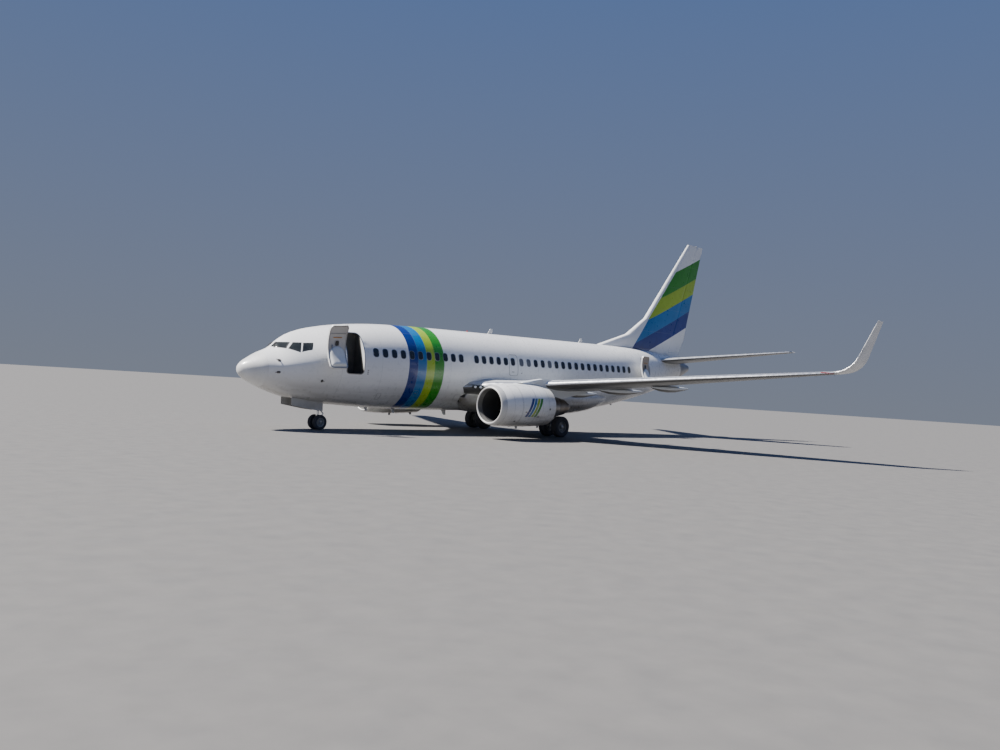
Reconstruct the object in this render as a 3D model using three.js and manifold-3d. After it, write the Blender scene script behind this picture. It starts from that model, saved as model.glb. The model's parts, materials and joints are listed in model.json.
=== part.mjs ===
// Twin-engine narrow-body airliner at full size, in millimetres: +X forward, +Y to port, +Z up.
// It stands on its wheels with the ground at Z = 0 and the origin under the middle of its box.
// Airframe places are given as a station (aft of the nose tip), a side (to port of the centre line)
// and a height (above the centre of the fuselage's upper lobe).
import * as THREE from 'three';
import { mergeVertices } from 'three/addons/utils/BufferGeometryUtils.js';
import Module from 'manifold-3d';

const wasm = await Module();
wasm.setup();

// Stance
const NOSE_X = 16787;
const LOBE_HEIGHT = 3042;
const PITCH = THREE.MathUtils.degToRad(0.806);

// Fits
const GAP = 0.3;
const PANEL_GAP = 3;
const END_GAP = 34;
const HINGE_SIDES = 16;
const COVE_GAP = 12;
const NOSE_SHARE = 0.95;
const BAR_LAP = 2;

// Fuselage sections: station, crown, keel, half width, height of the widest point
const FUSELAGE = [
  [0, -480, -620, 70, -550],
  [60, -370, -750, 200, -545],
  [250, -190, -930, 420, -530],
  [500, -40, -1070, 620, -505],
  [950, 210, -1270, 900, -430],
  [1380, 420, -1430, 1090, -380],
  [1680, 700, -1530, 1200, -340],
  [2140, 1020, -1660, 1350, -270],
  [2430, 1150, -1725, 1430, -230],
  [3020, 1340, -1820, 1570, -150],
  [3620, 1470, -1890, 1680, -90],
  [4270, 1585, -1945, 1760, -45],
  [5130, 1695, -2000, 1835, -15],
  [7000, 1830, -2095, 1880, 0],
  [9500, 1880, -2135, 1880, 0],
  [20500, 1880, -2135, 1880, 0],
  [22000, 1880, -1960, 1865, 30],
  [23700, 1880, -1720, 1790, 90],
  [25600, 1865, -1370, 1600, 180],
  [27800, 1790, -900, 1240, 330],
  [29200, 1670, -530, 960, 470],
  [30300, 1570, -200, 730, 600],
  [31000, 1470, 20, 580, 690],
  [32400, 1090, 620, 240, 860],
];
const BODY_SIDES = 36;
const LOWER_LOBE_POWER = 2.1;
// Over the flight deck the crown narrows to a ridge: how much its outline's power drops from 2, and the
// stations between which the drop grows and fades
const RIDGE = { drop: 0.6, grows: [800, 1600], fades: [2400, 4800] };
const RADOME_END = 950;
const TAIL_CONE_START = 31000;
const EXHAUST = { radius: 150, depth: 260, height: 855 };

// Flight-deck panes, port side. The front pane's outline is side and height, the others' station and height.
const PANE_DEPTH = 26;
const PANE_POST = 55;
const PANES = [
  { name: 'front', seen: 'ahead', from: 1200, to: 2300,
    outline: [[85, 450], [75, 672], [580, 688], [730, 408]] },
  { name: 'middle', seen: 'abeam', from: 400, to: 2000,
    outline: [[1840, 407], [2120, 691], [2507, 702], [2290, 272]] },
  { name: 'side', seen: 'abeam', from: 400, to: 2000,
    outline: [[2359, 296], [2550, 690], [2957, 718], [2930, 545], [2800, 410]] },
];

// Left entry doors: the opening's front station, width, sill and top, and the upright line that the open
// leaf has swung half a turn about: its station, its side at mid height, its lean inboard in degrees and the
// leaf's rise
const ENTRY_DOORS = [
  { name: 'forward', station: 4270, width: 860, sill: -530, top: 1280, hinge: [4090, 1862, 11, 60] },
  { name: 'aft', station: 25730, width: 780, sill: -500, top: 1230, hinge: [25700, 1740, 9, 0] },
];
const ENTRY_DEPTH = 900;
const ENTRY_PLAY = 8;
// The arms that carry a leaf: heights from its middle, radius, sides, how far forward and outboard of the
// hinge line they reach, and how far forward of the opening and inboard of the hinge line they start
const ENTRY_ARMS = { levels: [-330, 330], radius: 32, sides: 10, leaf: [330, 60], jamb: [70, 500] };
const DOOR_THICKNESS = 90;
const DOOR_CORNER = 150;

// Wing-to-body fairing: station, crown, keel, half width, height of the widest point
const FAIRING = [
  [11200, -850, -1800, 1480, -1250],
  [11900, -740, -2060, 1790, -1290],
  [12900, -650, -2180, 2000, -1300],
  [14200, -580, -2270, 2120, -1300],
  [16000, -560, -2310, 2160, -1300],
  [18200, -560, -2310, 2160, -1300],
  [19600, -640, -2230, 2060, -1300],
  [21000, -760, -2080, 1880, -1260],
  [22400, -850, -1700, 1500, -1200],
];
const FAIRING_POWER = 2.7;
const MAIN_WELL = { station: 16640, side: 790, radius: 630, ceiling: -1780 };
const MAIN_TRENCH = { from: 1200, to: 2500, halfWidth: 190, ceiling: -1980 };
const NOSE_WELL = { from: 2330, to: 4420, halfWidth: 290, ceiling: -1000 };

// Wing sections: side, leading edge's station, trailing edge's station, leading edge's height, thickness over
// chord, washout in degrees, lean of the section from upright in degrees
const WING = [
  [1000, 10430, 17820, -990, 0.135, 2.2, 0],
  [3250, 12500, 17820, -765, 0.125, 2.1, 0],
  [5200, 13520, 17820, -570, 0.118, 2.0, 0],
  [16450, 19400, 20830, 600, 0.105, -0.8, 6],
];
const WINGLET = { root: [16450, 600], bend: 1057, straight: 1698, lowLean: 6, highLean: 72, steps: 5 };
const WINGLET_EDGES = { lead: [19400, 20440], trail: [20830, 20980], thickness: [0.105, 0.08] };

// Control surfaces and flaps, port side: inner and outer side, hinge or front line's station at each
const AILERON = { inner: [12650, 19180], outer: [16150, 20330], turn: 22 };
const FLAPS = [
  { name: 'inboard', inner: [2200, 16960], outer: [5330, 16960] },
  { name: 'outboard', inner: [5360, 16780], outer: [12620, 19160] },
];
const CANOE_TOP = 0.4;
const FLAP_TRACKS = [
  { name: 'inner', side: 3900, from: 15700, to: 18750, height: -960, halfHeight: 240, halfWidth: 160 },
  { name: 'middle', side: 6500, from: 15600, to: 19200, height: -700, halfHeight: 240, halfWidth: 160 },
  { name: 'outer', side: 8850, from: 16600, to: 19800, height: -440, halfHeight: 230, halfWidth: 150 },
];

// Stabiliser sections: side, leading edge, trailing edge, height, thickness over chord
const STABILISER = [
  [560, 28072, 31551, 1177, 0.1],
  [7175, 32700, 33600, 2090, 0.09],
];
const ELEVATOR = { inner: [1180, 30620], outer: [6850, 33170], turn: 22 };

// Fin sections: height, leading edge, trailing edge, thickness over chord
const FIN = [
  [1000, 22300, 31600, 0.05],
  [1900, 23140, 31530, 0.055],
  [2680, 25760, 31960, 0.075],
  [3780, 27530, 32230, 0.1],
  [8980, 31890, 33630, 0.1],
];
const RUDDER = { foot: [1790, 30230], head: [8980, 32890], footTrail: 1930, turn: 28 };

// Engine, about its axis: station aft of the inlet's lip and radius
const ENGINE = { side: 4830, height: -1650, lipStation: 9950, sides: 32, coreSides: 24 };
const COWL_OUTSIDE = [[0, 800], [50, 862], [270, 930], [700, 1000], [1600, 1050], [2600, 1020], [3520, 925]];
const COWL_INSIDE = [[3520, 896], [2780, 905], [1950, 850], [1630, 790], [1130, 787], [270, 735], [60, 762]];
const LIP_END = 270;
const COWL_SPLIT = 2080;
const COWL_ROUND = 880;
const COWL_FLATTENING = 0.45;
const FAN = { station: 1370, radius: 775, hub: 250, blades: 24, spinner: 330, depth: 260 };
const CORE = [[1740, 0], [1740, 430], [2480, 560], [3380, 610], [4180, 520], [4930, 385], [4930, 300],
  [5080, 300], [5530, 60], [5530, 0]];
// Fan blade sections: reach from the axis, chord, stagger from the axis in degrees, thickness
const HUB_SIDES = 36;
const BLADE_SECTIONS = [
  { reach: 215, chord: 170, stagger: 30, thickness: 40 },
  { reach: 480, chord: 225, stagger: 48, thickness: 30 },
  { reach: FAN.radius, chord: 250, stagger: 62, thickness: 22 },
];
const PYLON = {
  halfWidth: 170,
  outline: [[11500, -760], [12100, -500], [13300, -330], [13700, -335], [14250, -480], [16700, -700],
    [16500, -900], [14600, -1280], [12300, -1280], [12300, -800]],
};

// Landing gear, upright on the ground: stations and heights above it
const NOSE_GEAR = { station: 4060, axle: 335, strutFoot: 1010 };
const NOSE_WHEEL = { side: 195, radius: 335, halfWidth: 98, rim: 190, axle: 38 };
const MAIN_GEAR = { station: 16600, side: 2860, axle: 535 };
const MAIN_WHEEL = { side: 430, radius: 535, halfWidth: 205, rim: 275, axle: 62 };
// Bars of the gear: start and end as forward of the wheels' station, outboard and height above the ground,
// the radius at each, sides
const NOSE_LEG_BARS = [
  [[0, 0, 1010], [0, 0, 1900], 85, 85, 14],
  [[40, 0, 1350], [1050, 0, 1900], 45, 45, 10],
  [[0, 0, 1150], [0, 0, 1290], 120, 120, 14],
];
const NOSE_FORK_BARS = [
  [[0, 0, 335], [0, 0, 1004], 52, 52, 14],
  [[0, -84, 335], [0, 84, 335], 72, 72, 14],
  [[0, 0, 950], [0, 0, 1004], 85, 85, 14],
  [[-30, 0, 960], [-290, 0, 720], 32, 26, 8],
  [[-290, 0, 720], [-30, 0, 420], 26, 32, 8],
];
const FORK_BLOCK = { length: 150, halfWidth: 34, halfHeight: 30 };
const MAIN_LEG_BARS = [
  [[0, 0, 700], [0, 0, 2300], 115, 115, 14],
  [[0, 0, 535], [0, 0, 750], 78, 78, 14],
  [[0, -200, 535], [0, 200, 535], 105, 105, 14],
  [[0, 0, 1130], [60, -900, 1640], 52, 52, 10],
  [[-60, 0, 1080], [-330, 0, 820], 42, 32, 8],
  [[-330, 0, 820], [-60, 0, 590], 32, 42, 8],
  [[150, 175, 1650], [0, 0, 1650], 26, 26, 8],
];
const NOSE_BORE = { reach: 120, play: 2 };
const MAIN_BORE = { reach: 260, play: 3 };
const TYRE_SIDES = 24;
const JACK_PAD = { radius: 80, drop: 60 };
const JACK_PADS = [[3900, 15200]];
const NOSE_DOOR = {
  side: 420, thickness: 28,
  outline: [[2380, -1300], [3990, -1500], [3990, -2250], [3450, -2190], [2400, -2010]],
};
const TRACK_SHAPE = [
  [0, 0], [0.06, 0.38], [0.22, 0.8], [0.42, 1], [0.62, 0.92], [0.85, 0.5], [0.97, 0.14], [1, 0],
];
const LEG_DOOR = { side: 175, thickness: 24, from: 330, to: -330, low: 1150, high: 2300 };

const finish = (color, roughness, metalness) =>
  new THREE.MeshStandardMaterial({ color, roughness, metalness });
const WHITE_PAINT = finish(0xe9ebee, 0.32, 0.0);
const GREY_PAINT = finish(0xa7adb3, 0.45, 0.0);
const BARE_METAL = finish(0xb9bcc0, 0.25, 0.9);
const FAN_METAL = finish(0x3f4348, 0.4, 0.7);
const HOT_METAL = finish(0x6d675f, 0.5, 0.8);
const GEAR_PAINT = finish(0xc9cccf, 0.4, 0.2);
const TYRE_RUBBER = finish(0x232425, 0.9, 0.0);
const PANE_GLASS = finish(0x1b2229, 0.08, 0.0);

const AHEAD = new THREE.Vector3(1, 0, 0);
const TO_PORT = new THREE.Vector3(0, 1, 0);

// A place on the airframe
const at = (station, side, height) => new THREE.Vector3(-station, side, height);
const mix = THREE.MathUtils.lerp;

// Closed solid of a three.js geometry
function solidOf(geometry) {
  const bare = geometry.clone();
  bare.deleteAttribute('normal');
  bare.deleteAttribute('uv');
  const welded = mergeVertices(bare, 0.001);
  const corners = welded.index.array;
  const kept = [];
  for (let i = 0; i < corners.length; i += 3) {
    const [a, b, c] = [corners[i], corners[i + 1], corners[i + 2]];
    if (a !== b && b !== c && c !== a) kept.push(a, b, c);
  }
  const vertProperties = welded.attributes.position.array;
  const triVerts = new Uint32Array(kept);
  const solid = new wasm.Manifold(new wasm.Mesh({ numProp: 3, vertProperties, triVerts }));
  if (solid.volume() >= 0) return solid;
  kept.reverse();
  return new wasm.Manifold(new wasm.Mesh({ numProp: 3, vertProperties, triVerts: new Uint32Array(kept) }));
}

// Geometry of a closed solid, or of its largest piece
function geometryOf(solid) {
  const pieces = solid.decompose();
  const largest = pieces.reduce((best, piece) => (piece.volume() > best.volume() ? piece : best));
  const mesh = largest.getMesh();
  const geometry = new THREE.BufferGeometry();
  geometry.setAttribute('position', new THREE.BufferAttribute(new Float32Array(mesh.vertProperties), 3));
  geometry.setIndex(new THREE.BufferAttribute(new Uint32Array(mesh.triVerts), 1));
  geometry.computeVertexNormals();
  return geometry;
}

const outward = (geometry) => geometryOf(solidOf(geometry));

// The same geometry on the starboard side
function starboard(geometry) {
  const copy = (geometry.index ? geometry.clone() : mergeVertices(geometry))
    .applyMatrix4(new THREE.Matrix4().makeScale(1, -1, 1));
  const corners = copy.index.array;
  for (let i = 0; i < corners.length; i += 3) [corners[i], corners[i + 1]] = [corners[i + 1], corners[i]];
  copy.computeVertexNormals();
  return copy;
}

function middleOf(ring) {
  return ring.reduce((sum, point) => sum.add(point), new THREE.Vector3()).divideScalar(ring.length);
}

function faceDirection(ring) {
  const normal = new THREE.Vector3();
  ring.forEach((point, i) => normal.add(point.clone().cross(ring[(i + 1) % ring.length])));
  return normal;
}

// Triangles that close a flat ring, facing the way given
function capOf(ring, facing) {
  const normal = faceDirection(ring);
  const size = [Math.abs(normal.x), Math.abs(normal.y), Math.abs(normal.z)];
  const [u, v] = [['y', 'z'], ['z', 'x'], ['x', 'y']][size.indexOf(Math.max(...size))];
  const faces = THREE.ShapeUtils.triangulateShape(ring.map((p) => new THREE.Vector2(p[u], p[v])), []);
  return faces.map(([a, b, c]) => {
    const turned = faceDirection([ring[a], ring[b], ring[c]]).dot(facing) < 0;
    return turned ? [a, c, b] : [a, b, c];
  });
}

// Closed body through flat rings of equally many points. Its two sides mirror each other.
function loft(rings) {
  const along = middleOf(rings.at(-1)).sub(middleOf(rings[0]));
  const turned = faceDirection(rings[0]).dot(along) < 0;
  const loops = turned ? rings.map((ring) => [...ring].reverse()) : rings;
  const count = loops[0].length;
  const positions = loops.flat().flatMap((p) => [p.x, p.y, p.z]);
  const index = [];
  for (let r = 0; r + 1 < loops.length; r += 1) {
    for (let i = 0; i < count; i += 1) {
      const [a, b] = [r * count + i, r * count + ((i + 1) % count)];
      const toStarboard = loops[r][i].y + loops[r][(i + 1) % count].y < 0;
      if (toStarboard) index.push(a, b, a + count, b, b + count, a + count);
      else index.push(a, b, b + count, a, b + count, a + count);
    }
  }
  const last = (loops.length - 1) * count;
  capOf(loops[0], along.clone().negate()).forEach((face) => index.push(...face));
  capOf(loops.at(-1), along).forEach((face) => index.push(...face.map((corner) => corner + last)));
  const geometry = new THREE.BufferGeometry();
  geometry.setAttribute('position', new THREE.Float32BufferAttribute(positions, 3));
  geometry.setIndex(index);
  return geometry;
}

// Outline swept straight: 'abeam' takes station and height across the sides, 'ahead' side and height along
// the stations, 'above' station and side up the heights
const SWEEPS = {
  abeam: (from) => new THREE.Matrix4().set(-1, 0, 0, 0, 0, 0, 1, from, 0, 1, 0, 0, 0, 0, 0, 1),
  ahead: (from, to) => new THREE.Matrix4().set(0, 0, 1, -to, 1, 0, 0, 0, 0, 1, 0, 0, 0, 0, 0, 1),
  above: (from) => new THREE.Matrix4().set(-1, 0, 0, 0, 0, -1, 0, 0, 0, 0, 1, from, 0, 0, 0, 1),
};

function prism(outline, seen, from, to) {
  const flip = seen === 'above' ? -1 : 1;
  const shape = new THREE.Shape(outline.map(([u, v]) => new THREE.Vector2(u, v * flip)));
  const swept = new THREE.ExtrudeGeometry(shape, { depth: to - from, bevelEnabled: false, curveSegments: 6 });
  return swept.applyMatrix4(SWEEPS[seen](from, to));
}

function box(stations, sides, heights) {
  const outline = [[stations[0], heights[0]], [stations[1], heights[0]], [stations[1], heights[1]],
    [stations[0], heights[1]]];
  return prism(outline, 'abeam', sides[0], sides[1]);
}

// Round bar between two places, with its own radius at each end
function bar(start, end, startRadius, endRadius = startRadius, sides = 14) {
  const length = start.distanceTo(end);
  const geometry = new THREE.CylinderGeometry(endRadius, startRadius, length, sides);
  geometry.translate(0, length / 2, 0);
  const turn = new THREE.Quaternion().setFromUnitVectors(
    new THREE.Vector3(0, 1, 0), end.clone().sub(start).normalize());
  return geometry.applyQuaternion(turn).translate(start.x, start.y, start.z);
}

// Smooth monotone curve through a table's column
function through(table, column) {
  const xs = table.map((row) => row[0]);
  const ys = table.map((row) => row[column]);
  const slopes = xs.slice(1).map((x, i) => (ys[i + 1] - ys[i]) / (x - xs[i]));
  const tangents = xs.map((_, i) => {
    if (i === 0) return slopes[0];
    if (i === xs.length - 1) return slopes.at(-1);
    const [before, after] = [slopes[i - 1], slopes[i]];
    return before * after <= 0 ? 0 : (2 * before * after) / (before + after);
  });
  return (x) => {
    const i = Math.max(0, Math.min(xs.length - 2, xs.findIndex((value) => value > x) - 1));
    const j = x >= xs.at(-1) ? xs.length - 2 : i;
    const width = xs[j + 1] - xs[j];
    const t = (x - xs[j]) / width;
    const [t2, t3] = [t * t, t * t * t];
    return (2 * t3 - 3 * t2 + 1) * ys[j] + (t3 - 2 * t2 + t) * width * tangents[j]
      + (3 * t2 - 2 * t3) * ys[j + 1] + (t3 - t2) * width * tangents[j + 1];
  };
}

// Power of the crown's outline at a station, 2 where it is an ellipse
function crownPowerAt(station) {
  const ease = THREE.MathUtils.smoothstep;
  return 2 - RIDGE.drop * ease(station, ...RIDGE.grows) * (1 - ease(station, ...RIDGE.fades));
}

// Body of round sections between two stations, grown outwards by a clearance
function roundBody(table, power, from, to, grow = 0, sides = BODY_SIDES) {
  const [crown, keel, half, widest] = [1, 2, 3, 4].map((column) => through(table, column));
  const stations = [from];
  table.forEach(([station], i) => {
    const before = i > 0 ? table[i - 1][0] : station;
    const between = (station + before) / 2;
    const smooth = station - before > 350 && station - before < 3000;
    if (smooth && between > from && between < to) stations.push(between);
    if (station > from && station < to) stations.push(station);
  });
  stations.push(to);
  return loft(stations.map((station) => {
    const [top, low, wide, level] = [crown, keel, half, widest].map((curve) => curve(station));
    const ring = [];
    const crownPower = crownPowerAt(station);
    for (let i = 0; i < sides; i += 1) {
      const angle = (2 * Math.PI * i) / sides;
      const [across, up] = [Math.sin(angle), Math.cos(angle)];
      const shape = 2 / (up >= 0 ? crownPower : power);
      const side = (wide + grow) * Math.sign(across) * Math.abs(across) ** shape;
      const reach = up >= 0 ? top - level : level - low;
      ring.push(at(station, side, level + (reach + grow) * Math.sign(up) * Math.abs(up) ** shape));
    }
    return ring;
  }));
}

const hull = (from, to, grow = 0) => solidOf(roundBody(FUSELAGE, LOWER_LOBE_POWER, from, to, grow));
const HULL_END = FUSELAGE.at(-1)[0];
const grownHull = hull(0, HULL_END, GAP);

// Half an aerofoil's depth at a share of its chord
const halfDepth = (thickness, u) => 5 * thickness
  * (0.2969 * Math.sqrt(u) - 0.126 * u - 0.3516 * u ** 2 + 0.2843 * u ** 3 - 0.1015 * u ** 4);

// Aerofoil points round a unit chord, from the trailing edge over the top to the nose and back below
function aerofoil(thickness, camber, steps) {
  const arch = (u) => camber * 4 * u * (1 - u);
  const spread = (i) => (1 - Math.cos((Math.PI * i) / steps)) / 2;
  const surface = (i, hand) => [spread(i), arch(spread(i)) + hand * halfDepth(thickness, spread(i))];
  const points = [];
  for (let i = steps; i >= 0; i -= 1) points.push(surface(i, 1));
  for (let i = 1; i <= steps; i += 1) points.push(surface(i, -1));
  return points;
}

// Wing section at a table row, grown outwards by a clearance
function wingRing([side, lead, trail, height, thickness, washout, lean], camber, grow) {
  const chord = trail - lead + 2 * grow;
  const scale = 1 + (2 * grow) / (thickness * chord);
  const droop = Math.sin(THREE.MathUtils.degToRad(washout));
  const tilt = THREE.MathUtils.degToRad(lean);
  return aerofoil(thickness, camber, AEROFOIL_STEPS).map(([u, v]) => {
    const up = v * scale * chord - u * chord * droop;
    return at(lead - grow + u * chord, side - up * Math.sin(tilt), height + up * Math.cos(tilt));
  });
}

const AEROFOIL_STEPS = 7;
const WING_CAMBER = 0.008;
const wingLoft = (grow = 0) => solidOf(loft(WING.map((row) => wingRing(row, WING_CAMBER, grow))));
const grownWing = wingLoft(GAP);

// The part of a surface aft of a slanted hinge or front line, with its ends moved in and the line moved aft
function aftOf({ inner, outer }, inset, back, reach) {
  const slope = (outer[1] - inner[1]) / (outer[0] - inner[0]);
  const [near, far] = [inner[0] + inset, outer[0] - inset];
  const line = (side) => inner[1] + slope * (side - inner[0]) + back;
  return [[line(near), near], [line(far), far], [line(far) + reach, far], [line(near) + reach, near]];
}

// Height of the middle and half the thickness of a surface at a side and station
function depthAt(rows, camber, side, station) {
  const row = Math.max(1, rows.findIndex(([outer]) => outer >= side));
  const share = (side - rows[row - 1][0]) / (rows[row][0] - rows[row - 1][0]);
  const [lead, trail] = [1, 2].map((i) => mix(rows[row - 1][i], rows[row][i], share));
  const u = (station - lead) / (trail - lead);
  const [near, far] = [rows[row - 1], rows[row]].map(([, front, back, height, thickness, washout = 0]) => {
    const droop = Math.sin(THREE.MathUtils.degToRad(washout));
    const chord = back - front;
    const middle = height + chord * (camber * 4 * u * (1 - u) - u * droop);
    return { middle, half: halfDepth(thickness, u) * chord };
  });
  return { middle: mix(near.middle, far.middle, share), half: mix(near.half, far.half, share) };
}

// Tapering round bar through stops along one line, with its ends moved in
function spindle(stops, radiusOf, inset) {
  const along = stops.at(-1).place.clone().sub(stops[0].place).normalize();
  const lengths = stops.slice(1).map((stop, i) => {
    const start = stops[i].place.clone().addScaledVector(along, i === 0 ? inset : 0);
    const end = stop.place.clone().addScaledVector(along, i === stops.length - 2 ? -inset : BAR_LAP);
    return bar(start, end, radiusOf(stops[i].half), radiusOf(stop.half), HINGE_SIDES);
  });
  return union(...lengths);
}

// A hinged surface and the fixed part with the cove that it turns in. Each stop on the hinge line has the
// surface's half thickness there.
function hinged(whole, region, stops, turn) {
  const swell = 1 / Math.cos(THREE.MathUtils.degToRad(turn));
  const nose = spindle(stops, (half) => half * NOSE_SHARE, END_GAP);
  const cove = spindle(stops, (half) => half * swell + COVE_GAP, 0);
  return {
    moving: whole.intersect(solidOf(region(END_GAP))).add(nose),
    fixed: whole.subtract(solidOf(region(0))).subtract(cove),
  };
}

// Stops along a hinge line from its inner to its outer end
function hingeStops(rows, camber, { inner, outer }) {
  return [0, 0.25, 0.5, 0.75, 1].map((share) => {
    const [side, station] = [0, 1].map((axis) => mix(inner[axis], outer[axis], share));
    const { middle, half } = depthAt(rows, camber, side, station);
    return { place: at(station, side, middle), half };
  });
}

const airframe = new THREE.Group();
airframe.position.set(NOSE_X, 0, LOBE_HEIGHT);
airframe.rotation.y = PITCH;
airframe.updateMatrixWorld();

// A place given by its station, side and height above the ground
const groundInverse = airframe.matrixWorld.clone().invert();
const aboveGround = (station, side, height) => new THREE.Vector3(NOSE_X - station, side, height)
  .applyMatrix4(groundInverse);

// Adds a piece. One that turns has its origin on its axis.
function place(name, geometry, material, axis) {
  const mesh = new THREE.Mesh(geometry, material);
  mesh.name = name;
  if (axis) {
    geometry.translate(-axis.origin.x, -axis.origin.y, -axis.origin.z);
    mesh.position.copy(axis.origin);
    mesh.userData.axis = axis.direction.clone().normalize();
  }
  airframe.add(mesh);
}

const onStarboard = (v) => new THREE.Vector3(v.x, -v.y, v.z);

const axisThrough = (stops) => ({
  origin: stops[0].place,
  direction: stops.at(-1).place.clone().sub(stops[0].place),
});

// Adds a port piece and its starboard twin
function placePair(name, geometry, material, axis) {
  const twin = starboard(geometry);
  place(`${name}_left`, geometry, material, axis);
  place(`${name}_right`, twin, material, axis && {
    origin: onStarboard(axis.origin),
    direction: onStarboard(axis.direction),
  });
}

const union = (...geometries) => geometries.map(solidOf).reduce((whole, piece) => whole.add(piece));

// Upright box on the centre line, by stations and heights above the ground
function boxOnGround(from, to, halfWidth, low, high) {
  const corner = aboveGround(from, halfWidth, high);
  const opposite = aboveGround(to, -halfWidth, low);
  return box([-corner.x, -opposite.x], [-halfWidth, halfWidth], [opposite.z, corner.z]);
}

// Lathe profile of radius and distance along the axis, turned about the station axis of an engine
function turned(profile, sides) {
  const points = profile.map(([along, radius]) => new THREE.Vector2(radius, along));
  return new THREE.LatheGeometry(points, sides).rotateZ(Math.PI / 2);
}

function buildBody() {
  const doorOutline = ({ station, width, sill, top }, grow) => {
    const [front, back, low, high] = [station - grow, station + width + grow, sill - grow, top + grow];
    const r = DOOR_CORNER;
    const c = r * 0.29;
    return [[front, low + r], [front + c, low + c], [front + r, low], [back - r, low], [back - c, low + c],
      [back, low + r], [back, high - r], [back - c, high - c], [back - r, high], [front + r, high],
      [front + c, high - c], [front, high - r]];
  };
  const wholeHull = hull(0, HULL_END);
  const shell = wholeHull.subtract(hull(0, HULL_END, -PANE_DEPTH));
  const behindPanes = hull(0, HULL_END, -PANE_DEPTH - GAP);
  const grownOutline = (outline, grow) => {
    const middle = [0, 1].map((axis) => outline.reduce((sum, p) => sum + p[axis], 0) / outline.length);
    return outline.map((p) => p.map((v, axis) => v + grow * Math.sign(v - middle[axis])));
  };
  let fuselage = hull(RADOME_END + GAP, TAIL_CONE_START - GAP);
  const grownPane = ({ seen, from, to, outline }, grow) =>
    solidOf(prism(grownOutline(outline, grow), seen, from, to));
  PANES.forEach((pane, i) => {
    let cut = grownPane(pane, GAP).subtract(behindPanes);
    let glass = grownPane(pane, 0).intersect(shell);
    if (i > 0) {
      cut = cut.subtract(grownPane(PANES[i - 1], PANE_POST - GAP));
      glass = glass.subtract(grownPane(PANES[i - 1], PANE_POST));
    }
    fuselage = fuselage.subtract(cut).subtract(solidOf(starboard(geometryOf(cut))));
    placePair(`flight_deck_pane_${pane.name}`, geometryOf(glass), PANE_GLASS);
  });

  ENTRY_DOORS.forEach((door) => {
    const reach = [1900 - ENTRY_DEPTH, 2400];
    fuselage = fuselage.subtract(solidOf(prism(doorOutline(door, 0), 'abeam', ...reach)));
    const leaf = wholeHull.subtract(hull(0, HULL_END, -DOOR_THICKNESS))
      .intersect(solidOf(prism(doorOutline(door, -ENTRY_PLAY), 'abeam', ...reach)));
    const [hingeStation, hingeSide, lean, rise] = door.hinge;
    const middle = at(hingeStation, hingeSide, (door.sill + door.top) / 2);
    const upright = new THREE.Vector3(0, 0, 1).applyAxisAngle(AHEAD, THREE.MathUtils.degToRad(lean));
    const swung = geometryOf(leaf).translate(-middle.x, -middle.y, -middle.z)
      .applyQuaternion(new THREE.Quaternion().setFromAxisAngle(upright, Math.PI))
      .translate(middle.x, middle.y, middle.z + rise);
    const { levels, radius, leaf: onLeaf, jamb: inJamb } = ENTRY_ARMS;
    const arms = levels.map((offset) => {
      const hold = middle.clone().addScaledVector(upright, offset);
      const jamb = at(door.station - inJamb[0], hingeSide - inJamb[1], hold.z);
      return bar(hold.clone().add(at(-onLeaf[0], onLeaf[1], 0)), jamb, radius, radius, ENTRY_ARMS.sides);
    });
    const carried = union(...arms).subtract(grownHull).add(solidOf(swung));
    place(`entry_door_${door.name}_left`, geometryOf(carried), WHITE_PAINT);
  });

  const noseWell = box([NOSE_WELL.from, NOSE_WELL.to], [-NOSE_WELL.halfWidth, NOSE_WELL.halfWidth],
    [-3000, NOSE_WELL.ceiling]);
  fuselage = fuselage.subtract(solidOf(noseWell));

  const wells = [-1, 1].flatMap((hand) => {
    const middle = at(MAIN_WELL.station, hand * MAIN_WELL.side, MAIN_WELL.ceiling);
    const round = bar(middle, middle.clone().setZ(-3000), MAIN_WELL.radius, MAIN_WELL.radius, 32);
    const sides = [hand * MAIN_TRENCH.from, hand * MAIN_TRENCH.to].sort((a, b) => a - b);
    const stations = [-1, 1].map((end) => MAIN_WELL.station + end * MAIN_TRENCH.halfWidth);
    return [round, box(stations, sides, [-3000, MAIN_TRENCH.ceiling])];
  });
  const wellCut = union(...wells);
  fuselage = fuselage.subtract(wellCut);
  place('fuselage', geometryOf(fuselage), WHITE_PAINT);
  const fairing = fairingBody(0);
  place('wing_body_fairing', geometryOf(fairing.subtract(grownHull).subtract(wellCut)), GREY_PAINT);

  place('radome', geometryOf(hull(0, RADOME_END)), WHITE_PAINT);
  const exhaust = bar(at(HULL_END - EXHAUST.depth, 0, EXHAUST.height), at(HULL_END + 50, 0, EXHAUST.height),
    EXHAUST.radius, EXHAUST.radius, 20);
  const tail = hull(TAIL_CONE_START, HULL_END).subtract(solidOf(exhaust));
  place('tail_cone', geometryOf(tail), BARE_METAL);

  const doorCut = (hand) => {
    const faces = [NOSE_DOOR.side, NOSE_DOOR.side + NOSE_DOOR.thickness];
    const sides = faces.map((side) => hand * side).sort((a, b) => a - b);
    return geometryOf(solidOf(prism(NOSE_DOOR.outline, 'abeam', ...sides)).subtract(grownHull));
  };
  place('nose_gear_door_left', doorCut(1), WHITE_PAINT);
  place('nose_gear_door_right', doorCut(-1), WHITE_PAINT);
}

const fairingBody = (grow) =>
  solidOf(roundBody(FAIRING, FAIRING_POWER, FAIRING[0][0], FAIRING.at(-1)[0], grow, 28));
const grownFairing = fairingBody(GAP);

// Plan region aft of a hinge or front line
const planRegion = (surface, back) => (inset) => prism(aftOf(surface, inset, back + inset / 3, 2500),
  'above', -3000, 4000);

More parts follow.
